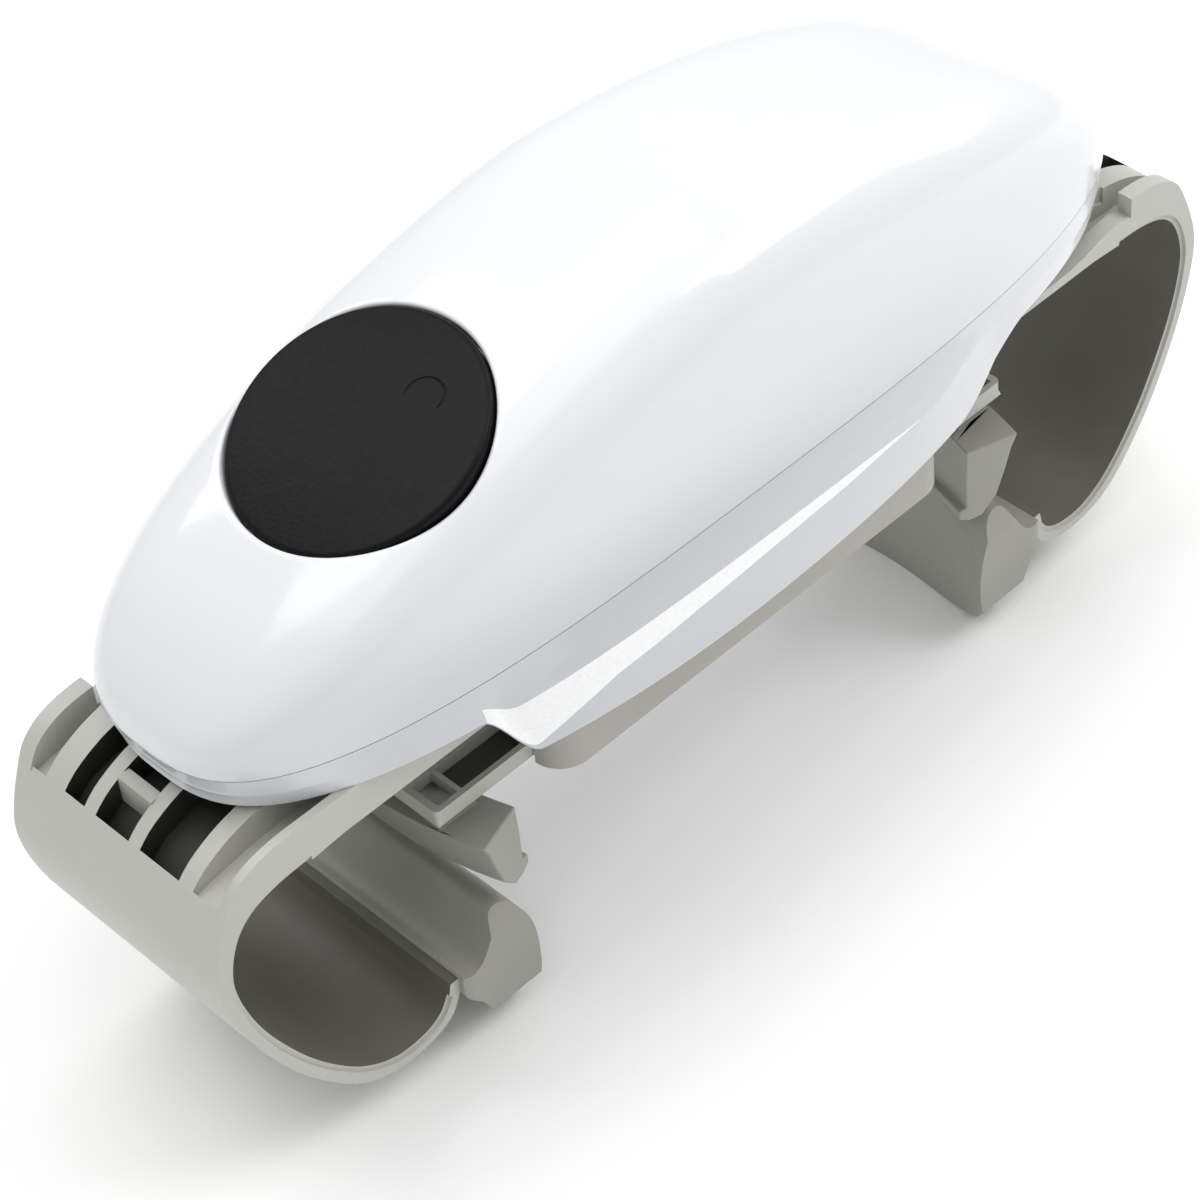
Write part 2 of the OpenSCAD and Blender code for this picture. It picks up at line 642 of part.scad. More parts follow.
module lid_slider() difference() {
    web_in = slider_reach - 4;
    tray_floor = 0.9;
    union() {
        // Two shallow trays as rails, joined by a web at the outer end
        for (s = [-1, 1]) box([-slider_reach, s > 0 ? slider_half - slider_rail : -slider_half,
            slider_low],
            [-lid_rail_end, s > 0 ? slider_half : -slider_half + slider_rail, slider_high]);
        difference() {
            round_end(slider_reach, slider_half, 2.5, -web_in);
            box([-slider_reach + 1.2, -slider_half + 1.2, slider_low + tray_floor],
                [-web_in - 1, slider_half - 1.2, slider_high + 1]);
        }
        translate([0, lid_pitch, 0]) mirror([0, 1, 0])
            rack(rack_module, -slider_reach + 2, lid_tongue_end, lid_tongue_width, slider_low,
                slider_high);
    }
    for (s = [-1, 1]) box([-slider_reach + 4.8,
        s > 0 ? slider_half - slider_rail + 0.9 : -slider_half + 0.9, slider_low + tray_floor],
        [-lid_rail_end - 1, s > 0 ? slider_half - 0.9 : -slider_half + slider_rail - 0.9,
            slider_high + 1]);
}

module round_end(reach, half, r, inner) {
    translate([0, 0, slider_low]) linear_extrude(slider_high - slider_low) intersection() {
        translate([-reach + 20, 0]) round_rect(20, half, r);
        translate([-reach, -half]) square([reach + inner, 2 * half]);
    }
}

module lid_slider_left() at_seam() color(grey) lid_slider();
module lid_slider_right() at_seam() color(grey) half_turn() lid_slider();

lid_jaw_low = -48.5;
// The jaw passes under the block's screw heads, and its clips run in slots in the block's cover
lid_jaw_high = block_low - 1.5;
lid_clip_y = 15.5;
lid_clip_half = 2;
lid_clip_in = 53;
lid_jaw_section = [[-60.6, lid_jaw_high], [-51.2, lid_jaw_high], [-50.9, -40], [-51, -45.6],
    [-49.6, -45.9], [-49.6, -47.6],
    [-51.4, lid_jaw_low], [-53.8, lid_jaw_low], [-56.6, -45.2], [-58.2, -40.6], [-59.4, -36.4]];
module lid_jaw() {
    centre = -lid_jaw_back + lid_jaw_radius;
    turn = asin(25.6 / lid_jaw_radius);
    translate([centre, 0, 0]) rotate([0, 0, 180 - turn]) rotate_extrude(angle = 2 * turn, $fn = 360)
        polygon([for (p = lid_jaw_section) [centre - p[0] + lid_jaw_sag, p[1]]]);
    // Blocks that clip the jaw under the slider
    for (s = [-1, 1]) box([-60, s * lid_clip_y - lid_clip_half, lid_jaw_high - 1],
        [-lid_clip_in, s * lid_clip_y + lid_clip_half, slider_low]);
}

module lid_jaw_left() at_seam() color(grey) lid_jaw();
module lid_jaw_right() at_seam() color(grey) half_turn() lid_jaw();

// ---------- Drive ----------

module main_shaft() at_seam() color(steel) rod(shaft_radius, slider_low + 0.8, plate_top);

module planet_carrier() at_seam() color(steel) difference() {
    rod(carrier_radius, carrier_low, carrier_low + carrier_thick);
    rod(shaft_radius, carrier_low - 1, carrier_low + 4);
    for (i = [0 : 2]) rotate([0, 0, 120 * i]) translate([planet_orbit, 0])
        rod(pin_radius, carrier_low - 1, carrier_low + 4);
}

module planet_pins() at_seam() color(steel)
    for (i = [0 : 2]) rotate([0, 0, 120 * i]) translate([planet_orbit, 0])
        rod(pin_radius, carrier_low, planet_top + 0.3);

// The sun has a gap towards +X, so each planet has a tooth there
module planet(i) at_seam() color(nylon) rotate([0, 0, 120 * i]) translate([planet_orbit, 0])
    difference() {
    gear(planet_module, planet_teeth, 180, planet_low, planet_top);
    rod(pin_radius + run_gap, planet_low - 1, planet_top + 1);
}
module planet_gear_1() planet(0);
module planet_gear_2() planet(1);
module planet_gear_3() planet(2);

module sun_gear() at_seam() color(nylon) difference() {
    union() {
        gear(planet_module, sun_teeth, 180 / sun_teeth, planet_low, planet_top + 0.4);
        rod(planet_module * (sun_teeth / 2 - 1.2), planet_top, stage_3 + 0.1);
        gear(train_module, wheel_3_teeth, 90 + 180 / wheel_3_teeth, stage_3, stage_3 + train_face);
    }
    rod(shaft_radius + run_gap, planet_low - 1, stage_2 + 1);
}

module ring_gear() at_seam() color(nylon) translate([0, 0, floor_top])
    linear_extrude(planet_top - floor_top + 0.3)
    difference() {
        circle(r = ring_radius, $fn = 96);
        ring_hole();
    }
// A planet's outermost tooth lies at +X, where the ring has a gap
module ring_hole() polygon(ring_points(planet_module, ring_teeth, 180 / ring_teeth));

module gear_2() at_seam() color(nylon) translate(gear_2_at) difference() {
    union() {
        gear(train_module, pinion_3_teeth, -90, stage_3, stage_2 + 0.1);
        gear(train_module, wheel_2_teeth, gear_1_turn, stage_2, stage_2 + train_face);
    }
    rod(gear_pin_radius + run_gap, stage_3 - 1, stage_1 + 3);
}

module gear_1() at_seam() color(nylon) translate(gear_1_at) difference() {
    union() {
        gear(train_module, pinion_2_teeth, gear_1_turn + 180 + 180 / pinion_2_teeth, stage_2,
            stage_1 + 0.1);
        gear(motor_module, wheel_1_teeth, motor_turn, stage_1, stage_1 + train_face);
    }
    rod(gear_pin_radius + run_gap, stage_2 - 1, plate_top);
}

module motor_pinion() at_seam() color(brass) translate(motor_at) difference() {
    gear(motor_module, pinion_1_teeth, motor_turn + 180 + 180 / pinion_1_teeth, stage_1 - 0.2,
        stage_1 + train_face + 0.5);
    rod(motor_shaft_radius, stage_1 - 1, plate_top);
}

module gear_pins() at_seam() color(steel) {
    translate(gear_2_at) rod(gear_pin_radius, stage_3 - 0.2, plate_top);
    translate(gear_1_at) rod(gear_pin_radius, stage_2 - 0.2, plate_top);
}

module gearbox_plate() at_seam() color(nylon) difference() {
    union() {
        round_plate(ring_radius + 6.5, 18, 4, plate_low, plate_top);
        for (p = post_at) translate(p) rod(post_radius + 0.3, plate_low, plate_top);
    }
    rod(shaft_radius + run_gap, plate_low - 1, plate_top + 1);
    translate(gear_2_at) rod(gear_pin_radius, plate_low - 1, plate_top + 1);
    translate(gear_1_at) rod(gear_pin_radius, plate_low - 1, plate_top + 1);
    translate(motor_at) rod(3.1, plate_low - 1, plate_top + 1);
    for (p = post_at) translate(p) rod(screw_radius + 0.2, plate_low - 1, plate_top + 1);
}

module motor() at_seam() color(steel) translate(motor_at) {
    difference() {
        translate([0, 0, plate_top]) linear_extrude(motor_length) intersection() {
            circle(r = motor_radius, $fn = 64);
            square([2 * motor_radius + 1, 1.5 * motor_radius], center = true);
        }
        rod(motor_shaft_radius + run_gap, plate_top - 3, plate_top + 3.2);
    }
    difference() {
        rod(3, plate_top - 1.6, plate_top + 0.1);
        rod(motor_shaft_radius + run_gap, plate_top - 3, plate_top + 3);
    }
    rod(2.5, plate_top + motor_length - 0.1, plate_top + motor_length + 1.2);
}

motor_shaft_radius = 1;
module motor_shaft() at_seam() color(steel) translate(motor_at)
    rod(motor_shaft_radius, stage_1 - 0.2, plate_top + 3);

module gearbox_screws() at_seam() color(steel)
    for (p = post_at) translate([p[0], p[1], plate_top]) pan_screw(screw_radius, 6);

// ---------- Switch, board, batteries ----------

module switch() at_seam() color(dark) on_button() {
    box([-3, -3, board_top], [3, 3, switch_top - 1]);
    rod(1.7, switch_top - 1.1, switch_top);
}

board_top = switch_top - 5;
board_post_x = button_radius - 3;
spring_radius = 5;
module circuit_board() at_seam() color([0.1, 0.35, 0.2]) on_button()
    translate([0, 0, board_top - 1.6]) linear_extrude(1.6) round_rect(board_post_x + 2, 9, 1.5);

// A conical stand-in of the return spring's coils, as one wound tube's outer form
module button_spring() at_seam() color(steel) on_button() rotate_extrude()
    translate([spring_radius, board_top]) square([0.8, -1.9 - board_top]);

// The cells lie beside the gearbox
cell_start = ring_radius + 9;
contact_room = 2.4;
cell_y = cell_radius + 0.6;
cell_z = floor_top + cell_radius + 0.3;
module batteries() at_seam() color([0.2, 0.25, 0.3]) for (s = [-1, 1])
    translate([cell_start, s * cell_y, cell_z])
    rotate([0, 90, 0]) {
        cylinder(r = cell_radius, h = cell_length);
        if (s > 0) translate([0, 0, cell_length - 0.1]) cylinder(r = 2.7, h = 1.6);
        if (s < 0) translate([0, 0, -1.5]) cylinder(r = 2.7, h = 1.6);
    }

module battery_contacts() at_seam() color(steel) {
    for (x = [cell_start - contact_room, cell_start + cell_length + contact_room - 0.5])
        box([x, -cell_y - 3, floor_top], [x + 0.5, cell_y + 3, floor_top + 10]);
}

module battery_door() at_seam() color(white) difference() {
    intersection() {
        dome_solid(0, 0);
        door_block(door_gap);
    }
    dome_solid(shell_wall, -1);
}

// ---------- Screws ----------

module housing_screws() at_seam() color(steel) for (p = cover_screws)
    translate([p[0], p[1], floor_low + 1.4]) mirror([0, 0, 1]) pan_screw(screw_radius, 8);

module guide_plate_screws() at_seam() color(steel) for (p = guide_screw_at)
    translate([p[0], p[1], guide_low + 1.5]) mirror([0, 0, 1]) pan_screw(screw_radius, 6);

module turntable_screws() at_seam() color(steel) for (p = block_screw_at)
    translate([p[0], p[1], block_low]) mirror([0, 0, 1]) pan_screw(screw_radius - 0.3, 3.6);

top_cover();
lower_shell();
button();
outer_arm_left();
outer_arm_right();
jar_jaw_left();
jar_jaw_right();
turntable();
turntable_cover();
lid_slider_left();
lid_slider_right();
lid_jaw_left();
lid_jaw_right();
guide_plate();
outer_pinion();
lid_pinion();
main_shaft();
planet_carrier();
planet_pins();
planet_gear_1();
planet_gear_2();
planet_gear_3();
sun_gear();
ring_gear();
motor();
motor_pinion();
motor_shaft();
gear_1();
gear_2();
gear_pins();
gearbox_plate();
gearbox_screws();
button_spring();
switch();
circuit_board();
batteries();
battery_contacts();
battery_door();
housing_screws();
turntable_screws();
guide_plate_screws();
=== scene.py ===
import math
import bmesh
import bpy
import numpy as np
from mathutils import Matrix, Vector


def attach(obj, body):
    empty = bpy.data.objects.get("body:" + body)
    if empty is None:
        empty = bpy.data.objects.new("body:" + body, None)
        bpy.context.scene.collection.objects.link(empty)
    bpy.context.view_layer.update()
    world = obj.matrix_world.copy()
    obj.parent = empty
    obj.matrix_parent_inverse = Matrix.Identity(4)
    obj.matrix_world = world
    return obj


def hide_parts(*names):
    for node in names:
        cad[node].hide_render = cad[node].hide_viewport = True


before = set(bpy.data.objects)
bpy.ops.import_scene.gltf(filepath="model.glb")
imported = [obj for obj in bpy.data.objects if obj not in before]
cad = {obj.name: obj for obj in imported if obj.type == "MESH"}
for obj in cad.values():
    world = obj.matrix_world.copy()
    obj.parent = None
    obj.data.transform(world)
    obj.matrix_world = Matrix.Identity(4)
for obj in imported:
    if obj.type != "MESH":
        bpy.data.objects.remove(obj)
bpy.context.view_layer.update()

# ---- Top cover ----
# The white dome of the housing, moulded in glossy ABS. Screws from below hold it on the lower shell.
# Its left end has a round well for the button, and its far side an opening for the battery door.

seam_height = 74.6
half_length = 95.0
half_width = 29.2
dome_high = 40.5
plan_power = 3.07
section_power = 3.72
spine_power, spine_root = 1.58, 1.67
spine_rise = 0.1


def dome_width(x):
    """Half the width of the seam's outline."""
    return half_width * max(1 - abs(x / half_length) ** plan_power, 0) ** (1 / plan_power)


def dome_top(x):
    """Height of the dome's spine above the seam."""
    end = max(1 - abs(x / half_length) ** spine_power, 0) ** (1 / spine_root)
    return dome_high * (1 + spine_rise * x / half_length) * end


def section_point(turn):
    """A point of the dome's boxy cross-section, for a unit width and height."""
    across = math.cos(turn)
    side = math.copysign(abs(across) ** (2 / section_power), across)
    return side, max(math.sin(turn), 0) ** (2 / section_power)


def even_steps(points):
    """Distance along a curve of points, from 0 to 1."""
    run = np.concatenate([[0], np.cumsum(np.linalg.norm(np.diff(points, axis=0), axis=1))])
    return run / run[-1]


# Even steps along the dome's length and round its section, for the grid that is bent into the dome
spine_turn = np.linspace(0, math.pi, 4001)
spine_x = -half_length * np.sign(np.cos(spine_turn)) * np.abs(np.cos(spine_turn)) ** (2 / plan_power)
spine_run = even_steps(np.array([[x, dome_width(x), dome_top(x)] for x in spine_x]))
round_turn = np.linspace(0, math.pi, 2001)
round_run = even_steps(np.array([section_point(a) for a in round_turn]) * [half_width, dome_high * 0.8])


def outline_out(x, y):
    """Outward direction of the seam's outline near a point."""
    gx = math.copysign(abs(x / half_length) ** (plan_power - 1) / half_length, x)
    gy = math.copysign(abs(y / half_width) ** (plan_power - 1) / half_width, y)
    return Vector((gx, gy, 0)).normalized()


def smooth_mesh(name, bm, crisp=35):
    """Makes the piece, in metres and at its place on the opener."""
    bmesh.ops.scale(bm, vec=(0.001, 0.001, 0.001), verts=bm.verts)
    mesh = bpy.data.meshes.new(name)
    bm.to_mesh(mesh)
    bm.free()
    for face in mesh.polygons:
        face.use_smooth = True
    mesh.set_sharp_from_angle(angle=math.radians(crisp))
    piece = bpy.data.objects.new(name, mesh)
    bpy.context.scene.collection.objects.link(piece)
    return piece


def loop_edges(bm, inside):
    """Open edges whose both ends pass the test."""
    return [e for e in bm.edges if e.is_boundary and all(inside(v.co) for v in e.verts)]


def only(kind, made):
    """The vertices, edges or faces among what an operator made."""
    return [g for g in made if isinstance(g, kind)]


def grow_loop(bm, edges, place):
    """Extrudes a loop of open edges and puts each new point in place."""
    made = bmesh.ops.extrude_edge_only(bm, edges=edges)["geom"]
    for v in only(bmesh.types.BMVert, made):
        v.co = place(v.co)
    return [e for e in only(bmesh.types.BMEdge, made) if e.is_boundary]


def face_up(bm):
    """Turns all faces outwards on an open or closed shell whose highest face looks up."""
    bmesh.ops.recalc_face_normals(bm, faces=bm.faces)
    highest = max(bm.faces, key=lambda f: f.calc_center_median().z)
    if highest.normal.z < 0:
        bmesh.ops.reverse_faces(bm, faces=bm.faces)


button_radius = 20.1
button_tilt = math.radians(22)
button_axis = Vector((-math.sin(button_tilt), 0, math.cos(button_tilt)))
button_ahead = Vector((math.cos(button_tilt), 0, math.sin(button_tilt)))
button_side = Vector((0, 1, 0))
button_x = -50.3
button_sunk = 1.2
button_seat = Vector((button_x, 0, dome_top(button_x) - button_sunk))
halvings = 36


def to_button(p):
    """Place of a point along, across and above the button's tilted plane."""
    d = p - button_seat
    return d.dot(button_ahead), d.dot(button_side), d.dot(button_axis)


def from_button(u, v, w):
    """The point at a place along, across and above the button's plane."""
    return button_seat + button_ahead * u + button_side * v + button_axis * w


def on_dome(u, v):
    """The dome's surface above a place on the button's plane."""
    low, high = -24.0, 9.0
    for step in range(halvings):
        w = (low + high) / 2
        p = from_button(u, v, w)
        wide, tall = dome_width(p.x), dome_top(p.x)
        inside = p.z < 0
        if not inside and wide > 0 and tall > 0:
            inside = abs(p.y / wide) ** section_power + (p.z / tall) ** section_power < 1
        low, high = (w, high) if inside else (low, w)
    return from_button(u, v, low)


well_radius = button_radius + 0.3
well_round = 0.55
well_depth = 5.4
stem_hole = 16.2
door_middle = Vector((49.0, 0, 8.25))
door_half = (23.0, 6.75)
door_round = 2.0


def door_edge(dx, dz, inset):
    """Where a ray from the door's middle meets its rounded outline."""
    hx, hz, r = door_half[0] - inset, door_half[1] - inset, door_round
    low, high = 0.0, 60.0
    length = math.hypot(dx, dz)
    dx, dz = abs(dx) / length, abs(dz) / length
    for step in range(halvings):
        t = (low + high) / 2
        cx, cz = max(dx * t - hx + r, 0), max(dz * t - hz + r, 0)
        low, high = (t, high) if math.hypot(cx, cz) < r else (low, t)
    return low


def on_far_side(x, z):
    """The dome's far surface at a place along it and a height above the seam."""
    share = max(1 - abs(z / dome_top(x)) ** section_power, 0) ** (1 / section_power)
    return Vector((x, dome_width(x) * share, z))


bm = bmesh.new()
bmesh.ops.create_grid(bm, x_segments=220, y_segments=96, size=1)


def spine_at(x):
    """Grid coordinate of a place along the dome."""
    return 2 * float(np.interp(np.interp(x, spine_x, spine_turn), spine_turn, spine_run)) - 1


def round_at(ratio):
    """Grid coordinate, on the far side, of a share of the dome's height."""
    quarter = round_turn[:len(round_turn) // 2 + 1]
    heights = np.array([section_point(a)[1] for a in quarter])
    return 2 * float(np.interp(np.interp(ratio, heights, quarter), round_turn, round_run)) - 1


# The faces round the well and the door are left out and grown again as rings
well_patch = (spine_at(-76), spine_at(-26), round_at(0.80), -round_at(0.80))
door_patch = (spine_at(21), spine_at(77), round_at(0) + 0.018, round_at(0.78))
gone = []
for f in bm.faces:
    c = f.calc_center_median()
    for low_x, high_x, low_y, high_y in (well_patch, door_patch):
        if low_x < c.x < high_x and low_y < c.y < high_y:
            gone.append(f)
bmesh.ops.delete(bm, geom=gone, context="FACES")
for v in bm.verts:
    x = float(np.interp(np.interp((v.co.x + 1) / 2, spine_run, spine_turn), spine_turn, spine_x))
    side, up = section_point(float(np.interp((v.co.y + 1) / 2, round_run, round_turn)))
    v.co = Vector((x, dome_width(x) * side, max(dome_top(x) * up, 0)))
bmesh.ops.remove_doubles(bm, verts=bm.verts, dist=0.002)
seam = loop_edges(bm, lambda p: p.z < 0.02)
well = loop_edges(bm, lambda p: p.z > 0.02 and p.x < 0)
door = loop_edges(bm, lambda p: p.z > 0.02 and p.x > 0)
for ring in range(14):
    def towards_well(p, left=14 - ring):
        u, v, w = to_button(p)
        away = math.hypot(u, v)
        share = (away + (well_radius + well_round - away) / left) / away
        return on_dome(u * share, v * share)
    well = grow_loop(bm, well, towards_well)
well_rim = {}
for e in well:
    for v in e.verts:
        u, side, w = to_button(v.co)
        well_rim[round(math.atan2(side, u), 4)] = w
rim_turns = sorted(well_rim)
rim_levels = [well_rim[a] for a in rim_turns]


def rim_level(u, v):
    """Height of the well's rim above the button's plane, in the direction of a point."""
    return float(np.interp(math.atan2(v, u), rim_turns, rim_levels, period=2 * math.pi))


for turn in (22, 45, 68, 90):
    def round_well(p, turn=math.radians(turn)):
        u, v, w = to_button(p)
        share = (well_radius + well_round * (1 - math.sin(turn))) / math.hypot(u, v)
        return from_button(u * share, v * share, rim_level(u, v) - well_round * (1 - math.cos(turn)))
    well = grow_loop(bm, well, round_well)
for radius in (well_radius, stem_hole):
    def sink_well(p, radius=radius):
        u, v, w = to_button(p)
        share = radius / math.hypot(u, v)
        return from_button(u * share, v * share, -well_depth)
    well = grow_loop(bm, well, sink_well)
for ring in range(5):
    def towards_door(p, left=5 - ring):
        dx, dz = p.x - door_middle.x, p.z - door_middle.z
        away = math.hypot(dx, dz)
        reach = away + (door_edge(dx, dz, -0.15) - away) / left
        return on_far_side(door_middle.x + dx * reach / away, door_middle.z + dz * reach / away)
    door = grow_loop(bm, door, towards_door)
for inset, depth in ((-0.05, 0.05), (0.0, 0.18), (0.0, 1.4)):
    def sink_door(p, inset=inset, depth=depth):
        dx, dz = p.x - door_middle.x, p.z - door_middle.z
        share = door_edge(dx, dz, inset) / math.hypot(dx, dz)
        q = on_far_side(door_middle.x + dx * share, door_middle.z + dz * share)
        return q - Vector((0, depth, 0))
    door = grow_loop(bm, door, sink_door)
# The seam's edge stands a little high and is turned in, which leaves the hairline between the shells
edge_lift = 0.16
for v in bm.verts:
    v.co.z += edge_lift * max(1 - v.co.z / 5, 0)
seam = grow_loop(bm, seam, lambda p: p - outline_out(p.x, p.y) * 0.22 - Vector((0, 0, 0.13)))
face_up(bm)
for v in bm.verts:
    v.co.z += seam_height
top_cover = smooth_mesh("cover", bm)
wall = top_cover.modifiers.new("wall", "SOLIDIFY")
wall.thickness = 0.0012
wall.offset = -1


class Wire:
    """One output of a shader node. Arithmetic on it adds Math nodes."""

    def __init__(self, finish, out):
        self.finish, self.out = finish, out

    def math(self, operation, *values):
        return self.finish.add("ShaderNodeMath", {"operation": operation}, *values)

    def __add__(self, other):
        return self.math("ADD", self, other)

    def __sub__(self, other):
        return self.math("SUBTRACT", self, other)

    def __rsub__(self, other):
        return self.math("SUBTRACT", other, self)

    def __mul__(self, other):
        return self.math("MULTIPLY", self, other)

    __radd__ = __add__
    __rmul__ = __mul__


class Finish:
    """A material whose nodes are added one call at a time, on Object coordinates."""

    def __init__(self, name):
        self.material = bpy.data.materials.new(name)
        self.material.use_nodes = True
        self.tree = self.material.node_tree
        self.shader = next(n for n in self.tree.nodes if n.type == "BSDF_PRINCIPLED")
        self.place = self.add("ShaderNodeTexCoord", {}, out="Object")

    def put(self, socket, value):
        if isinstance(value, Wire):
            self.tree.links.new(value.out, socket)
        else:
            socket.default_value = value

    def add(self, kind, settings, *values, out=0, **named):
        node = self.tree.nodes.new(kind)
        for key, value in settings.items():
            if key == "stops":
                for stop, (at, colour) in zip(node.color_ramp.elements, value):
                    stop.position, stop.color = at, colour
            else:
                setattr(node, key, value)
        for socket, value in zip(node.inputs, values):
            self.put(socket, value)
        for key, value in named.items():
            self.put(node.inputs[key.replace("_", " ")], value)
        return Wire(self, node.outputs[out])

    def speckle(self, scale, detail=2.0):
        return self.add("ShaderNodeTexNoise", {}, Vector=self.place, Scale=scale, Detail=detail)

    def ramp(self, share, stops):
        return self.add("ShaderNodeValToRGB", {"stops": stops}, Fac=share)

    def grain(self, height, strength, distance):
        return self.add("ShaderNodeBump", {}, Strength=strength, Distance=distance, Height=height,
                        out="Normal")

    def set(self, **sockets):
        for key, value in sockets.items():
            self.put(self.shader.inputs[key.replace("_", " ")], value)
        return self.material


# Painted shade: the white is a little darker low on the sides, most of all near the button, and less so at
# the left tip
gloss = Finish("gloss_white")
along = gloss.add("ShaderNodeSeparateXYZ", {}, gloss.place, out=0)
height = gloss.add("ShaderNodeSeparateXYZ", {}, gloss.place, out=2)
smooth_step = {"interpolation_type": "SMOOTHSTEP"}
near_seam = gloss.add("ShaderNodeMapRange", smooth_step, height, 0.074, 0.094, 1.0, 0.0)
near_button = gloss.add("ShaderNodeMapRange", smooth_step, along, -0.03, 0.07, 1.0, 0.2)
off_tip = gloss.add("ShaderNodeMapRange", smooth_step, along, -0.092, -0.06, 0.25, 1.0)
shade = near_seam * near_button * off_tip * 0.8 + gloss.speckle(14.0, 1.0) * 0.2
gloss_white = gloss.set(
    Base_Color=gloss.ramp(shade, ((0.08, (0.765, 0.777, 0.80, 1)), (0.9, (0.595, 0.615, 0.645, 1)))),
    Roughness=gloss.speckle(60.0) * 0.05 + 0.13,
    Normal=gloss.grain(gloss.speckle(240.0), 0.02, 0.0002),
    Coat_Weight=0.35,
    Coat_Roughness=0.06,
)


def dress(piece, material, body, slot_name, *replaced):
    """Gives a piece its first material and its body, and hides the nodes that it stands for. The slot name
    is not used.
    """
    piece.data.materials.append(material)
    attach(piece, body)
    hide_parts(*replaced)


dress(top_cover, gloss_white, "housing", "cover_white", "top_cover")

# ---- Battery door ----
# A small curved door in the cover's far side, moulded in the same glossy white plastic.
# It snaps into its opening and lifts straight out for the two cells.

door_gap = 0.3
door_depths = (0.15, 1.9)
bm = bmesh.new()
bmesh.ops.create_grid(bm, x_segments=70, y_segments=22, size=1)
for v in bm.verts:
    hx, hz, r = door_half[0] - door_gap, door_half[1] - door_gap, door_round - door_gap
    dx, dz = v.co.x * hx, v.co.y * hz
    cx, cz = abs(dx) - hx + r, abs(dz) - hz + r
    if cx > 0 and cz > 0:
        pull = max(cx, cz) / math.hypot(cx, cz)
        dx = math.copysign(hx - r + cx * pull, dx)
        dz = math.copysign(hz - r + cz * pull, dz)
    v.co = on_far_side(door_middle.x + dx, door_middle.z + dz)
door = loop_edges(bm, lambda p: True)
for depth in door_depths:
    door = grow_loop(bm, door, lambda p, depth=depth: p - Vector((0, depth, 0)))
bmesh.ops.contextual_create(bm, geom=door)
bmesh.ops.recalc_face_normals(bm, faces=bm.faces)
for v in bm.verts:
    v.co.z += seam_height
battery_door = smooth_mesh("battery_hatch", bm)
dress(battery_door, gloss_white, "battery_door", "cover_white", "battery_door")

# ---- Lower shell ----
# The lower half of the housing, in the same glossy white plastic, screwed to the cover.
# A faceted skirt flares out along each side, with an S-shaped notch at its left end.


def ease(t):
    """A soft step from 0 to 1."""
    t = min(max(t, 0), 1)
    return t * t * (3 - 2 * t)


rim_length, rim_width, rim_power = 93.4, 31.1, 2.8
rim_drop = 6.2
notch_x = -57.5
crease_width, crease_level = 33.0, -5.1
plain_level = -3.6
flare_out, flare_down = 4.9, 7.8
tuck_in, tuck_slope = 5.6, 1.28
# Share of the way from the seam to the crease's bend, out and down, on the plain ends and the skirt
plain_bend, creased_bend = (0.93, 0.8), (0.6, 0.66)


def shell_knots(turn):
    """Seam, two bends, crease, middle and lower edge of the shell's side at one station."""
    lean = math.cos(turn)
    x = -half_length * math.copysign(abs(lean) ** (2 / plan_power), lean)
    side = math.copysign(1, math.sin(turn))
    seam_y = half_width * abs(math.sin(turn)) ** (2 / plan_power)
    rx = x * rim_length / half_length
    ry = rim_width * max(1 - abs(rx / rim_length) ** rim_power, 0) ** (1 / rim_power)
    left = ease((rx - notch_x) / 7)
    creased = left * ease((50 - rx) / 24)
    mid = (seam_y + ry) / 2 + 0.25 * min(seam_y / 4, 1)
    past_notch = max(rx + 54, 0)
    tuck = tuck_in * math.exp(-past_notch / 12)
    cy = mid + (crease_width - tuck - mid) * creased
    creased_level = crease_level - tuck_slope * tuck + 4.5 * math.exp(-past_notch / 16)
    cz = plain_level + (creased_level - plain_level) * creased
    ey = ry + flare_out * left * max(1 - ((rx + 13) / 62) ** 2, 0)
    ez = -rim_drop - flare_down * left * ease((58 - rx) / 20)
    hy, hz = cy + (ey - cy) * 0.35, cz + (ez - cz) * 0.5
    out = plain_bend[0] + (creased_bend[0] - plain_bend[0]) * creased
    down = plain_bend[1] + (creased_bend[1] - plain_bend[1]) * creased
    knots = [(x, seam_y, 0), (x * 0.7 + rx * 0.3, seam_y + (cy - seam_y) * 0.3, cz * 0.33),
             (x * 0.4 + rx * 0.6, seam_y + (cy - seam_y) * out, cz * down), (x * 0.35 + rx * 0.65, cy, cz),
             (rx, hy, hz), (rx, ey, ez)]
    return [Vector((a, side * b, c)) for a, b, c in knots], creased


def along_knots(knots, at, creased):
    """A point of the side's curve through its knots, nearly straight between them where it is creased."""
    i = min(int(at), 4)
    t = at - i
    p0, p1 = knots[max(i - 1, 0)], knots[i]
    p2, p3 = knots[i + 1], knots[min(i + 2, 5)]
    square, cube = 2 * p0 - 5 * p1 + 4 * p2 - p3, 3 * p1 - p0 - 3 * p2 + p3
    curved = 0.5 * (2 * p1 + (p2 - p0) * t + square * t * t + cube * t ** 3)
    return curved.lerp(p1.lerp(p2, t), creased * 0.9)


side_turn = np.linspace(0, 2 * math.pi, 6001)
side_run = even_steps(np.array([list(shell_knots(a)[0][3]) for a in side_turn]))
leaf_along = (-56, -53, -44, -36, -20, -4, 12, 28)
leaf_reach = (1.88, 1.88, 1.38, 1.02, 0.72, 0.52, 0.36, 0.015)
# Rows of the side's grid: down to the crease, over the leaf-shaped facet, and on to the lower edge
shell_steps = [0.02, 0.3, 0.6, 0.88, 0.96, 1.04, 1.12, 1.35, 1.6, 1.8, 1.92, 2.0, 2.1, 2.4, 2.7, 2.9, 2.97]
leaf_shares = [0.02, 0.3, 0.6, 0.9, 1.0]
below_shares = [0.03, 0.3, 0.65, 1.0]
leaf_row = len(shell_steps)
row_count = leaf_row + len(leaf_shares) + len(below_shares)


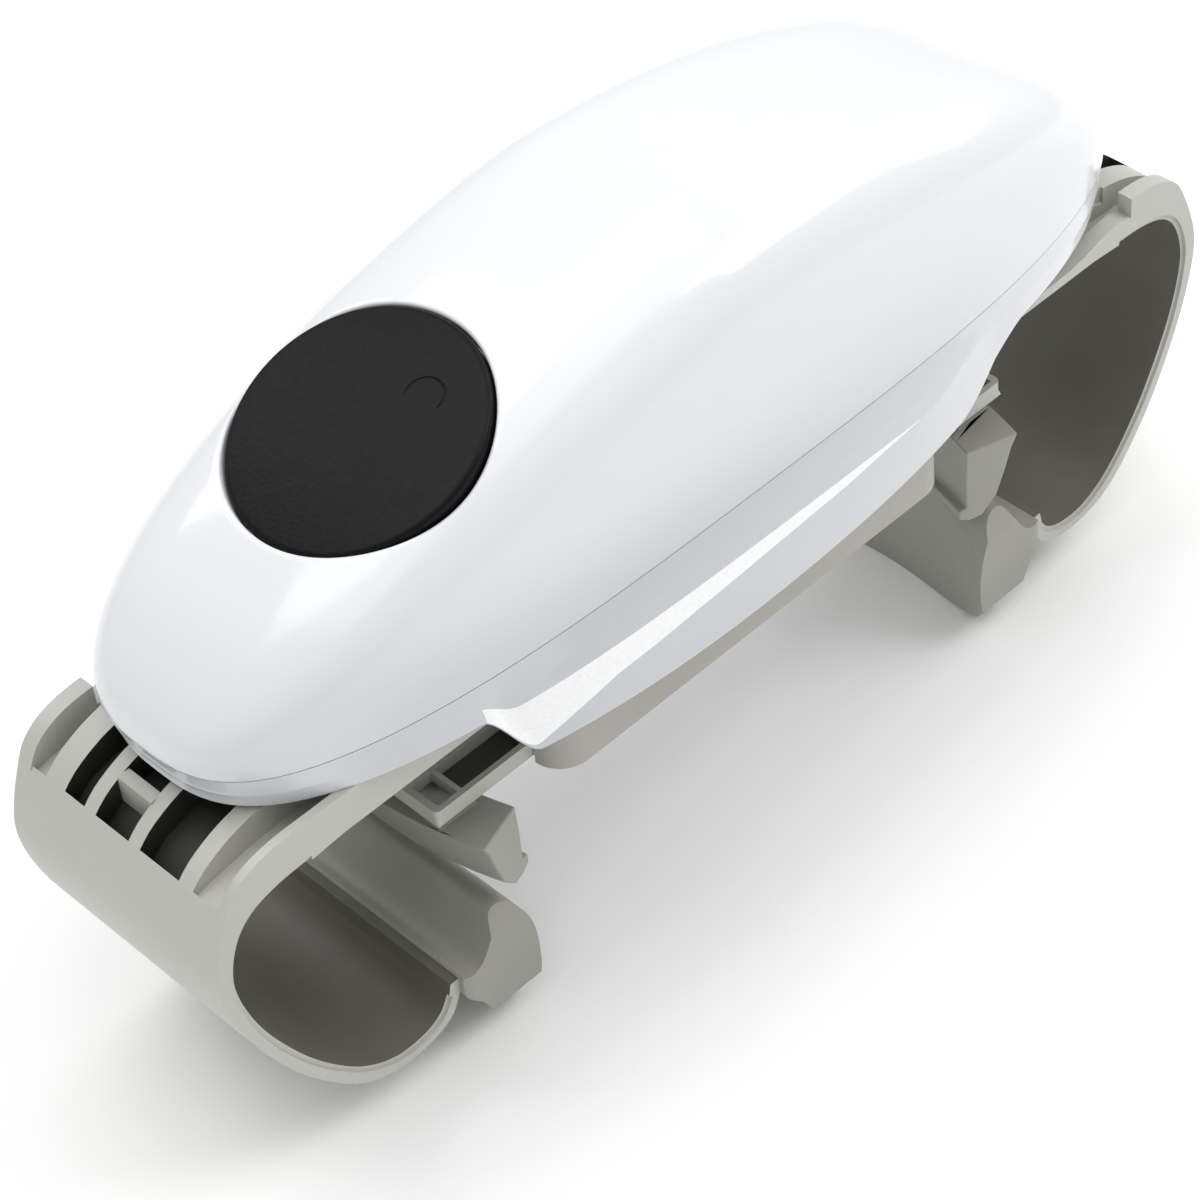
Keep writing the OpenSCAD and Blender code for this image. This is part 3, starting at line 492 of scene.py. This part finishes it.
def step_at(row, x):
    """Where a row of the shell's side lies between its knots. The leaf-shaped facet narrows to the right."""
    if row < leaf_row:
        return shell_steps[row]
    reach = float(np.interp(x, leaf_along, leaf_reach))
    if row < leaf_row + len(leaf_shares):
        return 3 + reach * leaf_shares[row - leaf_row]
    return 3 + reach + (1.93 - reach) * below_shares[row - leaf_row - len(leaf_shares)]


def turn_at(share):
    """The turn at a share of the way round the shell's side."""
    return float(np.interp(share, side_run, side_turn))


bm = bmesh.new()
bmesh.ops.create_grid(bm, x_segments=620, y_segments=row_count - 1, size=1)
# Faces of the leaf-shaped facet take the second material, a painted highlight
for f in bm.faces:
    c = f.calc_center_median()
    row = (c.y + 1) / 2 * (row_count - 1)
    x = shell_knots(turn_at((c.x + 1) / 2))[0][5].x
    on_leaf = leaf_row < row < leaf_row + len(leaf_shares) - 1
    f.material_index = int(on_leaf and notch_x + 1 < x < leaf_along[-1])
for v in bm.verts:
    knots, creased = shell_knots(turn_at((v.co.x + 1) / 2))
    row = round((v.co.y + 1) / 2 * (row_count - 1))
    v.co = along_knots(knots, step_at(row, knots[5].x), creased)
bmesh.ops.remove_doubles(bm, verts=bm.verts, dist=0.004)
top_edge = loop_edges(bm, lambda p: p.z > -0.5)
low_edge = loop_edges(bm, lambda p: p.z < -0.5)
# The lower edge is rounded, and a wall leans inwards from it to the shell's floor
for inwards, rise in ((0.06, -0.24), (0.32, -0.2), (1.4, 0.0), (0.3, 0.3)):
    def round_rim(p, inwards=inwards, rise=rise):
        return p - outline_out(p.x, p.y) * inwards + Vector((0, 0, rise))
    low_edge = grow_loop(bm, low_edge, round_rim)
floor_level = -rim_drop + 0.25
lean_in = 6.5
low_edge = grow_loop(bm, low_edge,
                     lambda p: Vector((p.x, p.y, floor_level)) - outline_out(p.x, p.y) * lean_in)
bmesh.ops.contextual_create(bm, geom=low_edge)
for inwards in (0.22, 1.9):
    def seam_ledge(p, inwards=inwards):
        return Vector((p.x, p.y, -0.03)) - outline_out(p.x, p.y) * inwards
    top_edge = grow_loop(bm, top_edge, seam_ledge)
top_edge = grow_loop(bm, top_edge, lambda p: Vector((p.x, p.y, -rim_drop + 2)))
bmesh.ops.contextual_create(bm, geom=top_edge)
bmesh.ops.recalc_face_normals(bm, faces=bm.faces)
# Two ribs and four screw bosses under the floor, behind the skirts
rib_size = (84, 2, 7.6)
rib_y, rib_level = 24.15, -10.0
boss_x, boss_y, boss_radius = 34, 27.2, 2.6
for side in (-1, 1):
    rib = bmesh.ops.create_cube(bm, size=1)["verts"]
    bmesh.ops.scale(bm, vec=rib_size, verts=rib)
    bmesh.ops.translate(bm, vec=(0, side * rib_y, rib_level), verts=rib)
    for x in (-boss_x, boss_x):
        boss = bmesh.ops.create_cone(bm, cap_ends=True, segments=32, radius1=boss_radius,
                                     radius2=boss_radius, depth=rib_size[2])["verts"]
        bmesh.ops.translate(bm, vec=(x, side * boss_y, rib_level), verts=boss)
for v in bm.verts:
    v.co.z += seam_height
lower_shell = smooth_mesh("shell", bm, 28)
# Painted highlight: a brighter, speckled white for the leaf-shaped facet, standing in for the light it
# reflects
leaf_highlight = Finish("painted_highlight_white")
highlight_speckle = leaf_highlight.speckle(2200.0, 2.0)
painted_leaf_highlight = leaf_highlight.set(
    Base_Color=leaf_highlight.ramp(highlight_speckle, ((0.3, (0.90, 0.905, 0.91, 1)), (0.7, (0.965, 0.97, 0.975, 1)))),
    Roughness=leaf_highlight.speckle(900.0) * 0.2 + 0.14,
    Normal=leaf_highlight.grain(highlight_speckle, 0.2, 0.0001),
    Coat_Weight=0.4,
    Coat_Roughness=0.08,
)
# Painted shade: the skirt is the cover's white plastic painted darker, most of all towards the button's end,
# and lighter to the right and at the left tip
skirt = Finish("skirt_white")
run = skirt.add("ShaderNodeSeparateXYZ", {}, skirt.place, out=0)
along_skirt = skirt.add("ShaderNodeMapRange", smooth_step, run, -0.03, 0.085, 0.0, 0.8)
to_tip = skirt.add("ShaderNodeMapRange", smooth_step, run, -0.093, -0.07, 1.0, 0.0)
lighter = along_skirt + to_tip + skirt.speckle(14.0, 1.0) * 0.2
skirt_white = skirt.set(
    Base_Color=skirt.ramp(lighter, ((0.08, (0.575, 0.592, 0.618, 1)), (0.9, (0.715, 0.728, 0.752, 1)))),
    Roughness=skirt.speckle(60.0) * 0.05 + 0.15,
    Normal=skirt.grain(skirt.speckle(240.0), 0.02, 0.0002),
    Coat_Weight=0.3,
    Coat_Roughness=0.08,
)
dress(lower_shell, skirt_white, "housing", "shell_white", "lower_shell")
lower_shell.data.materials.append(painted_leaf_highlight)

# ---- Push button ----
# A round black push button of fine-grained plastic, slightly domed, that sits in the cover's well.
# Its top has a small pressed-in arc. A spring under it pushes it back up.

arc_middle = (8.9, -6.0)
arc_radius = 3.0
arc_reach = 4.3
arc_depth, arc_half = 0.16, 0.17
button_crown = 1.1
button_round = 0.9
flat_radius = button_radius - button_round


def button_height(r):
    """Height of the domed top above the button's rounded edge."""
    share = r / flat_radius
    return button_crown * (1 - min(share, 1) ** 2)


# Rings round the arc's middle, closest where it is pressed in
ring_sizes = [0.6, 1.5, 2.3, 2.62, 2.74, 2.82, 2.9, 2.96, 3.04, 3.1, 3.18, 3.26, 3.4, 3.7, arc_reach]
bm = bmesh.new()
rim = bmesh.ops.create_circle(bm, segments=160, radius=ring_sizes[0], cap_ends=True)["verts"]


def pressed(du, dv, r):
    """Depth of the pressed-in arc, which stops softly at both ends."""
    turn = math.degrees(math.atan2(dv, du))
    ends = ease((turn + 104) / 10) * ease((126 - turn) / 10)
    return arc_depth * ends * max(1 - ((r - arc_radius) / arc_half) ** 2, 0)


def button_point(du, dv, r):
    """A point of the button's top at a place seen from the arc's middle."""
    u, v = arc_middle[0] + du, arc_middle[1] + dv
    return Vector((u, v, button_height(math.hypot(u, v)) - pressed(du, dv, r)))


for v in rim:
    v.co = button_point(v.co.x, v.co.y, ring_sizes[0])
edge = loop_edges(bm, lambda p: True)
for r in ring_sizes[1:]:
    def wider(p, r=r):
        du, dv = p.x - arc_middle[0], p.y - arc_middle[1]
        share = r / math.hypot(du, dv)
        return button_point(du * share, dv * share, r)
    edge = grow_loop(bm, edge, wider)
spread_rings = 18
for step in range(1, spread_rings + 1):
    def spread(p, share=step / spread_rings, before=(step - 1) / spread_rings):
        old_middle = Vector(arc_middle) * (1 - before)
        new_middle = Vector(arc_middle) * (1 - share)
        size = arc_reach + (flat_radius - arc_reach) * share
        away = (Vector((p.x, p.y)) - old_middle).normalized()
        q = new_middle + away * size
        return Vector((q.x, q.y, button_height(q.length)))
    edge = grow_loop(bm, edge, spread)
for turn in (18, 36, 54, 72, 90):
    def round_edge(p, turn=math.radians(turn)):
        share = (flat_radius + button_round * math.sin(turn)) / math.hypot(p.x, p.y)
        return Vector((p.x * share, p.y * share, -button_round * (1 - math.cos(turn))))
    edge = grow_loop(bm, edge, round_edge)
for share, level in ((1, -3.2), (0.92, -3.2), (0.92, -1.9)):
    edge = grow_loop(bm, edge, lambda p, s=share, z=level: Vector((p.x * s, p.y * s, z)))
bmesh.ops.contextual_create(bm, geom=edge)
stem_radius, stem_length, stem_level = 2.2, 5.7, -4.65
stem = bmesh.ops.create_cone(bm, cap_ends=True, segments=32, radius1=stem_radius, radius2=stem_radius,
                             depth=stem_length)["verts"]
bmesh.ops.translate(bm, vec=(0, 0, stem_level), verts=stem)
bmesh.ops.recalc_face_normals(bm, faces=bm.faces)
for v in bm.verts:
    v.co = from_button(v.co.x, v.co.y, v.co.z) + Vector((0, 0, seam_height))
push_button = smooth_mesh("push_button", bm, 50)
black = Finish("grained_black")
fine = black.speckle(1500.0, 3.0)
button_black = black.set(
    Base_Color=black.ramp(fine, ((0.3, (0.002, 0.002, 0.0023, 1)), (0.7, (0.0045, 0.0045, 0.005, 1)))),
    Roughness=black.speckle(500.0) * 0.12 + 0.36,
    Specular_IOR_Level=0.15,
    Normal=black.grain(fine, 0.35, 0.00012),
)
dress(push_button, button_black, "button", "button_black", "button")

# ---- Claws ----
# Two big C-shaped claws of satin grey-green plastic, each moulded in one piece with the rails that
# slide under the housing. Ribs and open pockets cross the top of each band.


def softened(node, name, width, crisp=32):
    """A copy of a CAD piece with its doubles merged and its edges rounded."""
    bm = bmesh.new()
    bm.from_mesh(cad[node].data)
    bmesh.ops.scale(bm, vec=(1000, 1000, 1000), verts=bm.verts)
    bmesh.ops.remove_doubles(bm, verts=bm.verts, dist=0.003)
    bmesh.ops.dissolve_limit(bm, angle_limit=math.radians(1.2), verts=bm.verts, edges=bm.edges)
    edges = [e for e in bm.edges if len(e.link_faces) == 2 and e.calc_face_angle(0) > math.radians(crisp)]
    bmesh.ops.bevel(bm, geom=edges, affect="EDGES", offset=width, offset_type="OFFSET", segments=2,
                    profile=0.5, clamp_overlap=True, material=-1)
    piece = smooth_mesh(name, bm, 40)
    even = piece.modifiers.new("even", "WEIGHTED_NORMAL")
    even.keep_sharp = True
    return piece


satin = Finish("satin_grey")
cloudy = satin.speckle(25.0, 2.0)
satin_grey = satin.set(
    Base_Color=satin.ramp(cloudy, ((0.3, (0.47, 0.47, 0.432, 1)), (0.7, (0.503, 0.501, 0.463, 1)))),
    Roughness=satin.speckle(300.0) * 0.1 + 0.38,
    Normal=satin.grain(satin.speckle(1800.0), 0.12, 0.0001),
)
# Painted shade: a dark grey for the inside faces of each claw's C, which lie in shade
inner = Finish("painted_inner_shade")
painted_inner_shade = inner.set(
    Base_Color=inner.ramp(inner.speckle(40.0),
                          ((0.3, (0.115, 0.111, 0.093, 1)), (0.7, (0.15, 0.146, 0.125, 1)))),
    Roughness=inner.speckle(260.0) * 0.1 + 0.5,
    Normal=inner.grain(inner.speckle(1500.0), 0.12, 0.0001),
)
# Painted shade: near black for the pockets' floors and walls, which lie in deep shadow
deep = Finish("pocket_shade")
pocket_shade = deep.set(
    Base_Color=deep.ramp(deep.speckle(80.0),
                         ((0.3, (0.018, 0.018, 0.013, 1)), (0.7, (0.03, 0.03, 0.022, 1)))),
    Roughness=0.6,
)
# On the left claw, with heights above the seam: where the deep pockets that get painted shade lie across the
# band and along it, and the middle of the band's C, whose inside gets painted shade too
dark_pockets = ((-12.5, -4.0), (-1.5, 5.8), (8.3, 12.7))
pocket_reach = (-101.6, -73)
pocket_low, rib_tops, rib_bend = -17.6, -8.6, -93
curl_x, curl_z = -82, -27
curl_top, curl_half = -17, 22.2
for side, body in (("left", "left_claw"), ("right", "right_claw")):
    sign = 1 if side == "left" else -1
    claw = softened("outer_arm_" + side, "claw_" + side, 0.3)
    dress(claw, satin_grey, body, "claw_grey", "outer_arm_" + side)
    claw.data.materials.append(pocket_shade)
    claw.data.materials.append(painted_inner_shade)
    for face in claw.data.polygons:
        x, y, z = face.center * 1000
        x, y, z = x * sign, y * sign, z - seam_height
        # Faces on the pockets' floors and walls get the painted shade of material 1
        in_pocket = any(low - 0.06 < y < high + 0.06 for low, high in dark_pockets)
        below_ribs = pocket_low < z < rib_tops - max(rib_bend - x, 0) * 0.55
        if in_pocket and below_ribs and pocket_reach[0] < x < pocket_reach[1] and face.normal.z > -0.3:
            face.material_index = 1
        # Faces turned in towards the middle of the C get the painted inner shade
        to_middle = Vector((curl_x - x, 0, curl_z - z)).normalized()
        turned_in = face.normal.x * sign * to_middle.x + face.normal.z * to_middle.z
        if turned_in > 0.25 and abs(y) < curl_half and z < curl_top:
            face.material_index = 2

# ---- Jar jaws ----
# Curved gripping plates of the same grey plastic, one on the tip of each claw.
# Each stands on the table with its foot when the opener is put down.

jaw = Finish("jaw_grey")
jaw_grey = jaw.set(
    Base_Color=jaw.ramp(jaw.speckle(30.0), ((0.3, (0.30, 0.30, 0.265, 1)), (0.7, (0.345, 0.343, 0.308, 1)))),
    Roughness=jaw.speckle(300.0) * 0.1 + 0.42,
    Normal=jaw.grain(jaw.speckle(1500.0), 0.15, 0.0001),
)
for side, body in (("left", "left_claw"), ("right", "right_claw")):
    grip = softened("jar_jaw_" + side, "jar_grip_" + side, 0.45)
    dress(grip, jaw_grey, body, "jaw_grey", "jar_jaw_" + side)

# ---- Turntable ----
# The grey block under the housing that turns the lid. A steel plate closes it from below.

olive = Finish("block_grey")
block_grey = olive.set(
    Base_Color=olive.ramp(olive.speckle(25.0),
                          ((0.3, (0.39, 0.388, 0.345, 1)), (0.7, (0.43, 0.426, 0.382, 1)))),
    Roughness=olive.speckle(300.0) * 0.1 + 0.4,
    Normal=olive.grain(olive.speckle(1800.0), 0.12, 0.0001),
)
block = softened("turntable", "turning_block", 0.4)
dress(block, block_grey, "turntable", "block_grey", "turntable")


def finish_node(material, *nodes):
    """Gives the inner pieces, which stay as the solids made them, their material."""
    for node in nodes:
        for socket in cad[node].material_slots:
            socket.material = material


steel = Finish("pressed_steel")
streaks = steel.add("ShaderNodeTexNoise", {}, Vector=steel.add(
    "ShaderNodeMapping", {}, Vector=steel.place, Scale=(60.0, 900.0, 900.0)), Scale=1.0, Detail=3.0)
pressed_steel = steel.set(
    Base_Color=steel.ramp(streaks, ((0.3, (0.50, 0.51, 0.53, 1)), (0.7, (0.62, 0.63, 0.65, 1)))),
    Roughness=streaks * 0.2 + 0.24,
    Normal=steel.grain(streaks, 0.08, 0.0001),
    Metallic=1.0,
)
finish_node(pressed_steel, "turntable_cover", "turntable_screws")

# ---- Guide plate and pinions ----
# A grey plastic plate screwed under the housing holds the claws' rails. Two white nylon pinions
# on the steel main shaft push the claws' racks and the lid sliders' racks apart or together.

nylon = Finish("white_nylon")
cloud = nylon.speckle(220.0, 2.0)
white_nylon = nylon.set(
    Base_Color=nylon.ramp(cloud, ((0.3, (0.74, 0.73, 0.68, 1)), (0.7, (0.80, 0.79, 0.745, 1)))),
    Roughness=cloud * 0.15 + 0.38,
    Normal=nylon.grain(nylon.speckle(1600.0), 0.1, 0.0001),
)
finish_node(block_grey, "guide_plate")
finish_node(white_nylon, "outer_pinion", "lid_pinion")
finish_node(pressed_steel, "main_shaft", "guide_plate_screws", "housing_screws")

# ---- Gear train and motor ----
# A can motor with a brass pinion turns nylon wheels and a planetary stage inside a fixed ring.
# The wheels run on steel pins between the lower shell and a plate that four screws hold.

brass = Finish("turned_brass")
rings = brass.speckle(800.0, 2.0)
turned_brass = brass.set(
    Base_Color=brass.ramp(rings, ((0.3, (0.68, 0.50, 0.22, 1)), (0.7, (0.78, 0.60, 0.30, 1)))),
    Roughness=rings * 0.15 + 0.22,
    Metallic=1.0,
)
finish_node(white_nylon, "planet_gear_1", "planet_gear_2", "planet_gear_3")
finish_node(white_nylon, "sun_gear", "ring_gear", "gear_1", "gear_2")
finish_node(block_grey, "planet_carrier", "gearbox_plate")
finish_node(pressed_steel, "planet_pins", "gear_pins", "gearbox_screws", "motor", "motor_shaft")
finish_node(turned_brass, "motor_pinion")

# ---- Switch, board and cells ----
# A small push switch on a green board sits under the button's stem, with a spring round it.
# Two AA cells in plain dark wraps lie between sprung contacts behind the battery door.

board = Finish("board_green")
weave = board.speckle(900.0, 2.0)
board_green = board.set(
    Base_Color=board.ramp(weave, ((0.3, (0.015, 0.10, 0.045, 1)), (0.7, (0.025, 0.15, 0.065, 1)))),
    Roughness=weave * 0.2 + 0.3,
)
wrap = Finish("cell_wrap")
cell_end = wrap.add("ShaderNodeSeparateXYZ", {}, wrap.place, out=0)
band = wrap.add("ShaderNodeMath", {"operation": "GREATER_THAN"}, cell_end, 0.062)
cell_wrap = wrap.set(
    Base_Color=wrap.ramp(band * 0.9 + wrap.speckle(300.0) * 0.1,
                         ((0.0, (0.03, 0.032, 0.036, 1)), (0.95, (0.42, 0.29, 0.13, 1)))),
    Roughness=wrap.speckle(300.0) * 0.1 + 0.25,
)
finish_node(board_green, "circuit_board")
finish_node(button_black, "switch")
finish_node(cell_wrap, "batteries")
finish_node(pressed_steel, "battery_contacts", "button_spring")

# ---- Lid sliders and lid jaws ----
# Two shallow channels with a rack each slide out of the turntable's ends, in grey plastic.
# A dished jaw that grips the lid is clipped under each of them.

slider = cad["lid_slider_left"].data
tray_low = min(v.co.z for v in slider.vertices) * 1000 - seam_height
tray_high = tray_low + 3
tray_floor = 0.9
# Cuts of the tray's plan, from its outer end inwards and from its middle to its side
tray_x = (-61.5, -60.3, -56.4, -55.6, -44.8, -28)
tray_y = (0, 5.9, 6.4, 10, 11.5, 12.4, 18.2, 19.2)
end_out, end_in, rib_out, rib_in, plate_end = tray_x[:5]
rib_start = tray_y[2]
guide_in, guide_out, side_in, side_out = tray_y[4:]
# The rack's bar and teeth stand clear of the floor, so that they pass over the other tray's floor
rack_high, rack_level = 1.9, 2.0
bar_size, bar_x, bar_y = (65.8, 2.9, rack_high), -27.6, 8.55
tooth_size, tooth_y = (1.45, 2.1, rack_high), 6.1
first_tooth, last_tooth, tooth_pitch = -54.6, 3.4, math.pi
# Painted shade: a dark floor for each channel, which lies in shade under the claw
shaded = Finish("channel_shade")
channel_shade = shaded.set(
    Base_Color=shaded.ramp(shaded.speckle(90.0),
                           ((0.3, (0.05, 0.049, 0.037, 1)), (0.7, (0.075, 0.073, 0.057, 1)))),
    Roughness=0.55,
)


def tray_cell(x, y):
    """What stands in one cell of the tray's plan: a wall, the floor or nothing."""
    y = abs(y)
    if y > side_in or guide_in < y < guide_out or x < end_in:
        return "wall"
    if rib_out < x < rib_in and y > rib_start:
        return "wall"
    if x < plate_end or y > guide_out:
        return "floor"
    return "nothing"


def slider_tray(name, half_turn):
    """A channel: its floor and walls grow out of the cells of its plan."""
    bm = bmesh.new()
    cuts = [-y for y in reversed(tray_y)] + list(tray_y[1:])
    bmesh.ops.create_grid(bm, x_segments=len(tray_x) - 1, y_segments=len(cuts) - 1, size=1)
    for v in bm.verts:
        column = round((v.co.x + 1) / 2 * (len(tray_x) - 1))
        row = round((v.co.y + 1) / 2 * (len(cuts) - 1))
        v.co = Vector((tray_x[column], cuts[row], tray_low))
    kinds = {f: tray_cell(*f.calc_center_median().xy) for f in bm.faces}
    bmesh.ops.delete(bm, geom=[f for f, kind in kinds.items() if kind == "nothing"], context="FACES")
    base = list(bm.faces)
    for f in base:
        if f.normal.z > 0:
            f.normal_flip()
    grown = bmesh.ops.extrude_face_region(bm, geom=base, use_keep_orig=True)["geom"]
    bmesh.ops.translate(bm, vec=(0, 0, tray_floor), verts=only(bmesh.types.BMVert, grown))
    tops = only(bmesh.types.BMFace, grown)
    walls = [f for f in tops if tray_cell(*f.calc_center_median().xy) == "wall"]
    grown = bmesh.ops.extrude_face_region(bm, geom=walls)["geom"]
    bmesh.ops.translate(bm, vec=(0, 0, tray_high - tray_low - tray_floor),
                        verts=only(bmesh.types.BMVert, grown))
    bmesh.ops.recalc_face_normals(bm, faces=bm.faces)
    corners = []
    for e in bm.edges:
        a, b = e.verts
        at_corner = abs(a.co.x - end_out) < 0.01 and abs(abs(a.co.y) - side_out) < 0.01
        if at_corner and abs(a.co.z - b.co.z) > 1:
            corners.append(e)
    bmesh.ops.bevel(bm, geom=corners, affect="EDGES", offset=1.0, offset_type="OFFSET", segments=5,
                    profile=0.5, clamp_overlap=False, material=-1)
    crisp = [e for e in bm.edges if len(e.link_faces) == 2 and e.calc_face_angle(0) > 1]
    bmesh.ops.bevel(bm, geom=crisp, affect="EDGES", offset=0.14, offset_type="OFFSET", segments=2,
                    profile=0.5, clamp_overlap=True, material=-1)
    # The channel's floor faces get the painted shade
    for f in bm.faces:
        c = f.calc_center_median()
        f.material_index = int(f.normal.z > 0.8 and tray_low + 0.5 < c.z < tray_low + 1.3)
    # The rack on the tray's inner side, with its row of teeth towards the pinion
    for x in np.arange(first_tooth, last_tooth, tooth_pitch):
        tooth = bmesh.ops.create_cube(bm, size=1)["verts"]
        bmesh.ops.scale(bm, vec=tooth_size, verts=tooth)
        bmesh.ops.translate(bm, vec=(x, tooth_y, tray_low + rack_level), verts=tooth)
        for v in tooth:
            if v.co.y < tooth_y:
                v.co.x = x + (v.co.x - x) * 0.5
    bar = bmesh.ops.create_cube(bm, size=1)["verts"]
    bmesh.ops.scale(bm, vec=bar_size, verts=bar)
    bmesh.ops.translate(bm, vec=(bar_x, bar_y, tray_low + rack_level), verts=bar)
    if half_turn:
        bmesh.ops.rotate(bm, cent=(0, 0, 0), matrix=Matrix.Rotation(math.pi, 3, "Z"), verts=bm.verts)
    bmesh.ops.translate(bm, vec=(0, 0, seam_height), verts=bm.verts)
    return smooth_mesh(name, bm, 35)


for side in ("left", "right"):
    channel = slider_tray("channel_" + side, side == "right")
    dress(channel, satin_grey, side + "_lid_jaw", "claw_grey", "lid_slider_" + side)
    channel.data.materials.append(channel_shade)
    lid_jaw = softened("lid_jaw_" + side, "lid_grip_" + side, 0.8, 40)
    dress(lid_jaw, jaw_grey, side + "_lid_jaw", "jaw_grey", "lid_jaw_" + side)

# ---- Floor, light and camera ----
# A plain white table top under two wide soft lamps, with smaller ones behind, at the right and in
# front, and an even light from the room. The camera looks down from the button's end.

bm = bmesh.new()
bmesh.ops.create_grid(bm, x_segments=1, y_segments=1, size=3)
mesh = bpy.data.meshes.new("floor")
bm.to_mesh(mesh)
bm.free()
floor = bpy.data.objects.new("floor", mesh)
bpy.context.scene.collection.objects.link(floor)
paper = Finish("white_floor")
floor.data.materials.append(paper.set(Base_Color=(0.99, 0.99, 0.99, 1), Roughness=0.9))


def lamp(name, place, aim, size, power):
    """A soft rectangular lamp, with sizes in metres and its power in watts."""
    light = bpy.data.lights.new(name, "AREA")
    light.shape = "RECTANGLE"
    light.size, light.size_y = size
    light.energy = power
    holder = bpy.data.objects.new(name, light)
    bpy.context.scene.collection.objects.link(holder)
    holder.location = place
    holder.rotation_euler = (Vector(aim) - Vector(place)).to_track_quat("-Z", "Y").to_euler()


lamp("ceiling_box", (-0.15, 0.35, 1.1), (0, 0, 0.05), (0.9, 0.7), 2.7)
lamp("back_box", (-0.2, 0.8, 0.8), (0, 0, 0.1), (0.3, 0.3), 1.0)
lamp("wide_ceiling", (0, 0, 1.4), (0, 0, 0), (1.6, 1.6), 7.8)
lamp("right_box", (0.9, -0.1, 0.7), (0, 0, 0.05), (0.7, 0.7), 2.2)
lamp("front_box", (0.7, -0.6, 0.9), (0, 0, 0.05), (0.5, 0.5), 3.0)
world = bpy.data.worlds.new("room")
world.use_nodes = True
world.node_tree.nodes["Background"].inputs["Color"].default_value = (1, 1, 1, 1)
world.node_tree.nodes["Background"].inputs["Strength"].default_value = 0.56
bpy.context.scene.world = world
bpy.context.scene.view_settings.view_transform = "Standard"

azimuth, tilt, roll = math.radians(-39.891), math.radians(44.542), math.radians(-6.655)
aim = Vector((-0.010309, 0, 0.038976))
distance = 0.573103
level = Vector((-math.sin(azimuth), math.cos(azimuth), 0))
across = Vector((math.cos(azimuth), math.sin(azimuth), 0))
ahead = level * math.cos(tilt) - Vector((0, 0, math.sin(tilt)))
above = level * math.sin(tilt) + Vector((0, 0, math.cos(tilt)))
right = across * math.cos(roll) + above * math.sin(roll)
up = above * math.cos(roll) - across * math.sin(roll)
eye = aim - ahead * distance
lens = bpy.data.cameras.new("camera")
lens.sensor_width = 36
lens.lens = 111.23
lens.clip_start, lens.clip_end = 0.02, 20
camera = bpy.data.objects.new("camera", lens)
bpy.context.scene.collection.objects.link(camera)
turned = Matrix((right, up, -ahead)).transposed().to_4x4()
camera.matrix_world = Matrix.Translation(eye) @ turned
bpy.context.scene.camera = camera
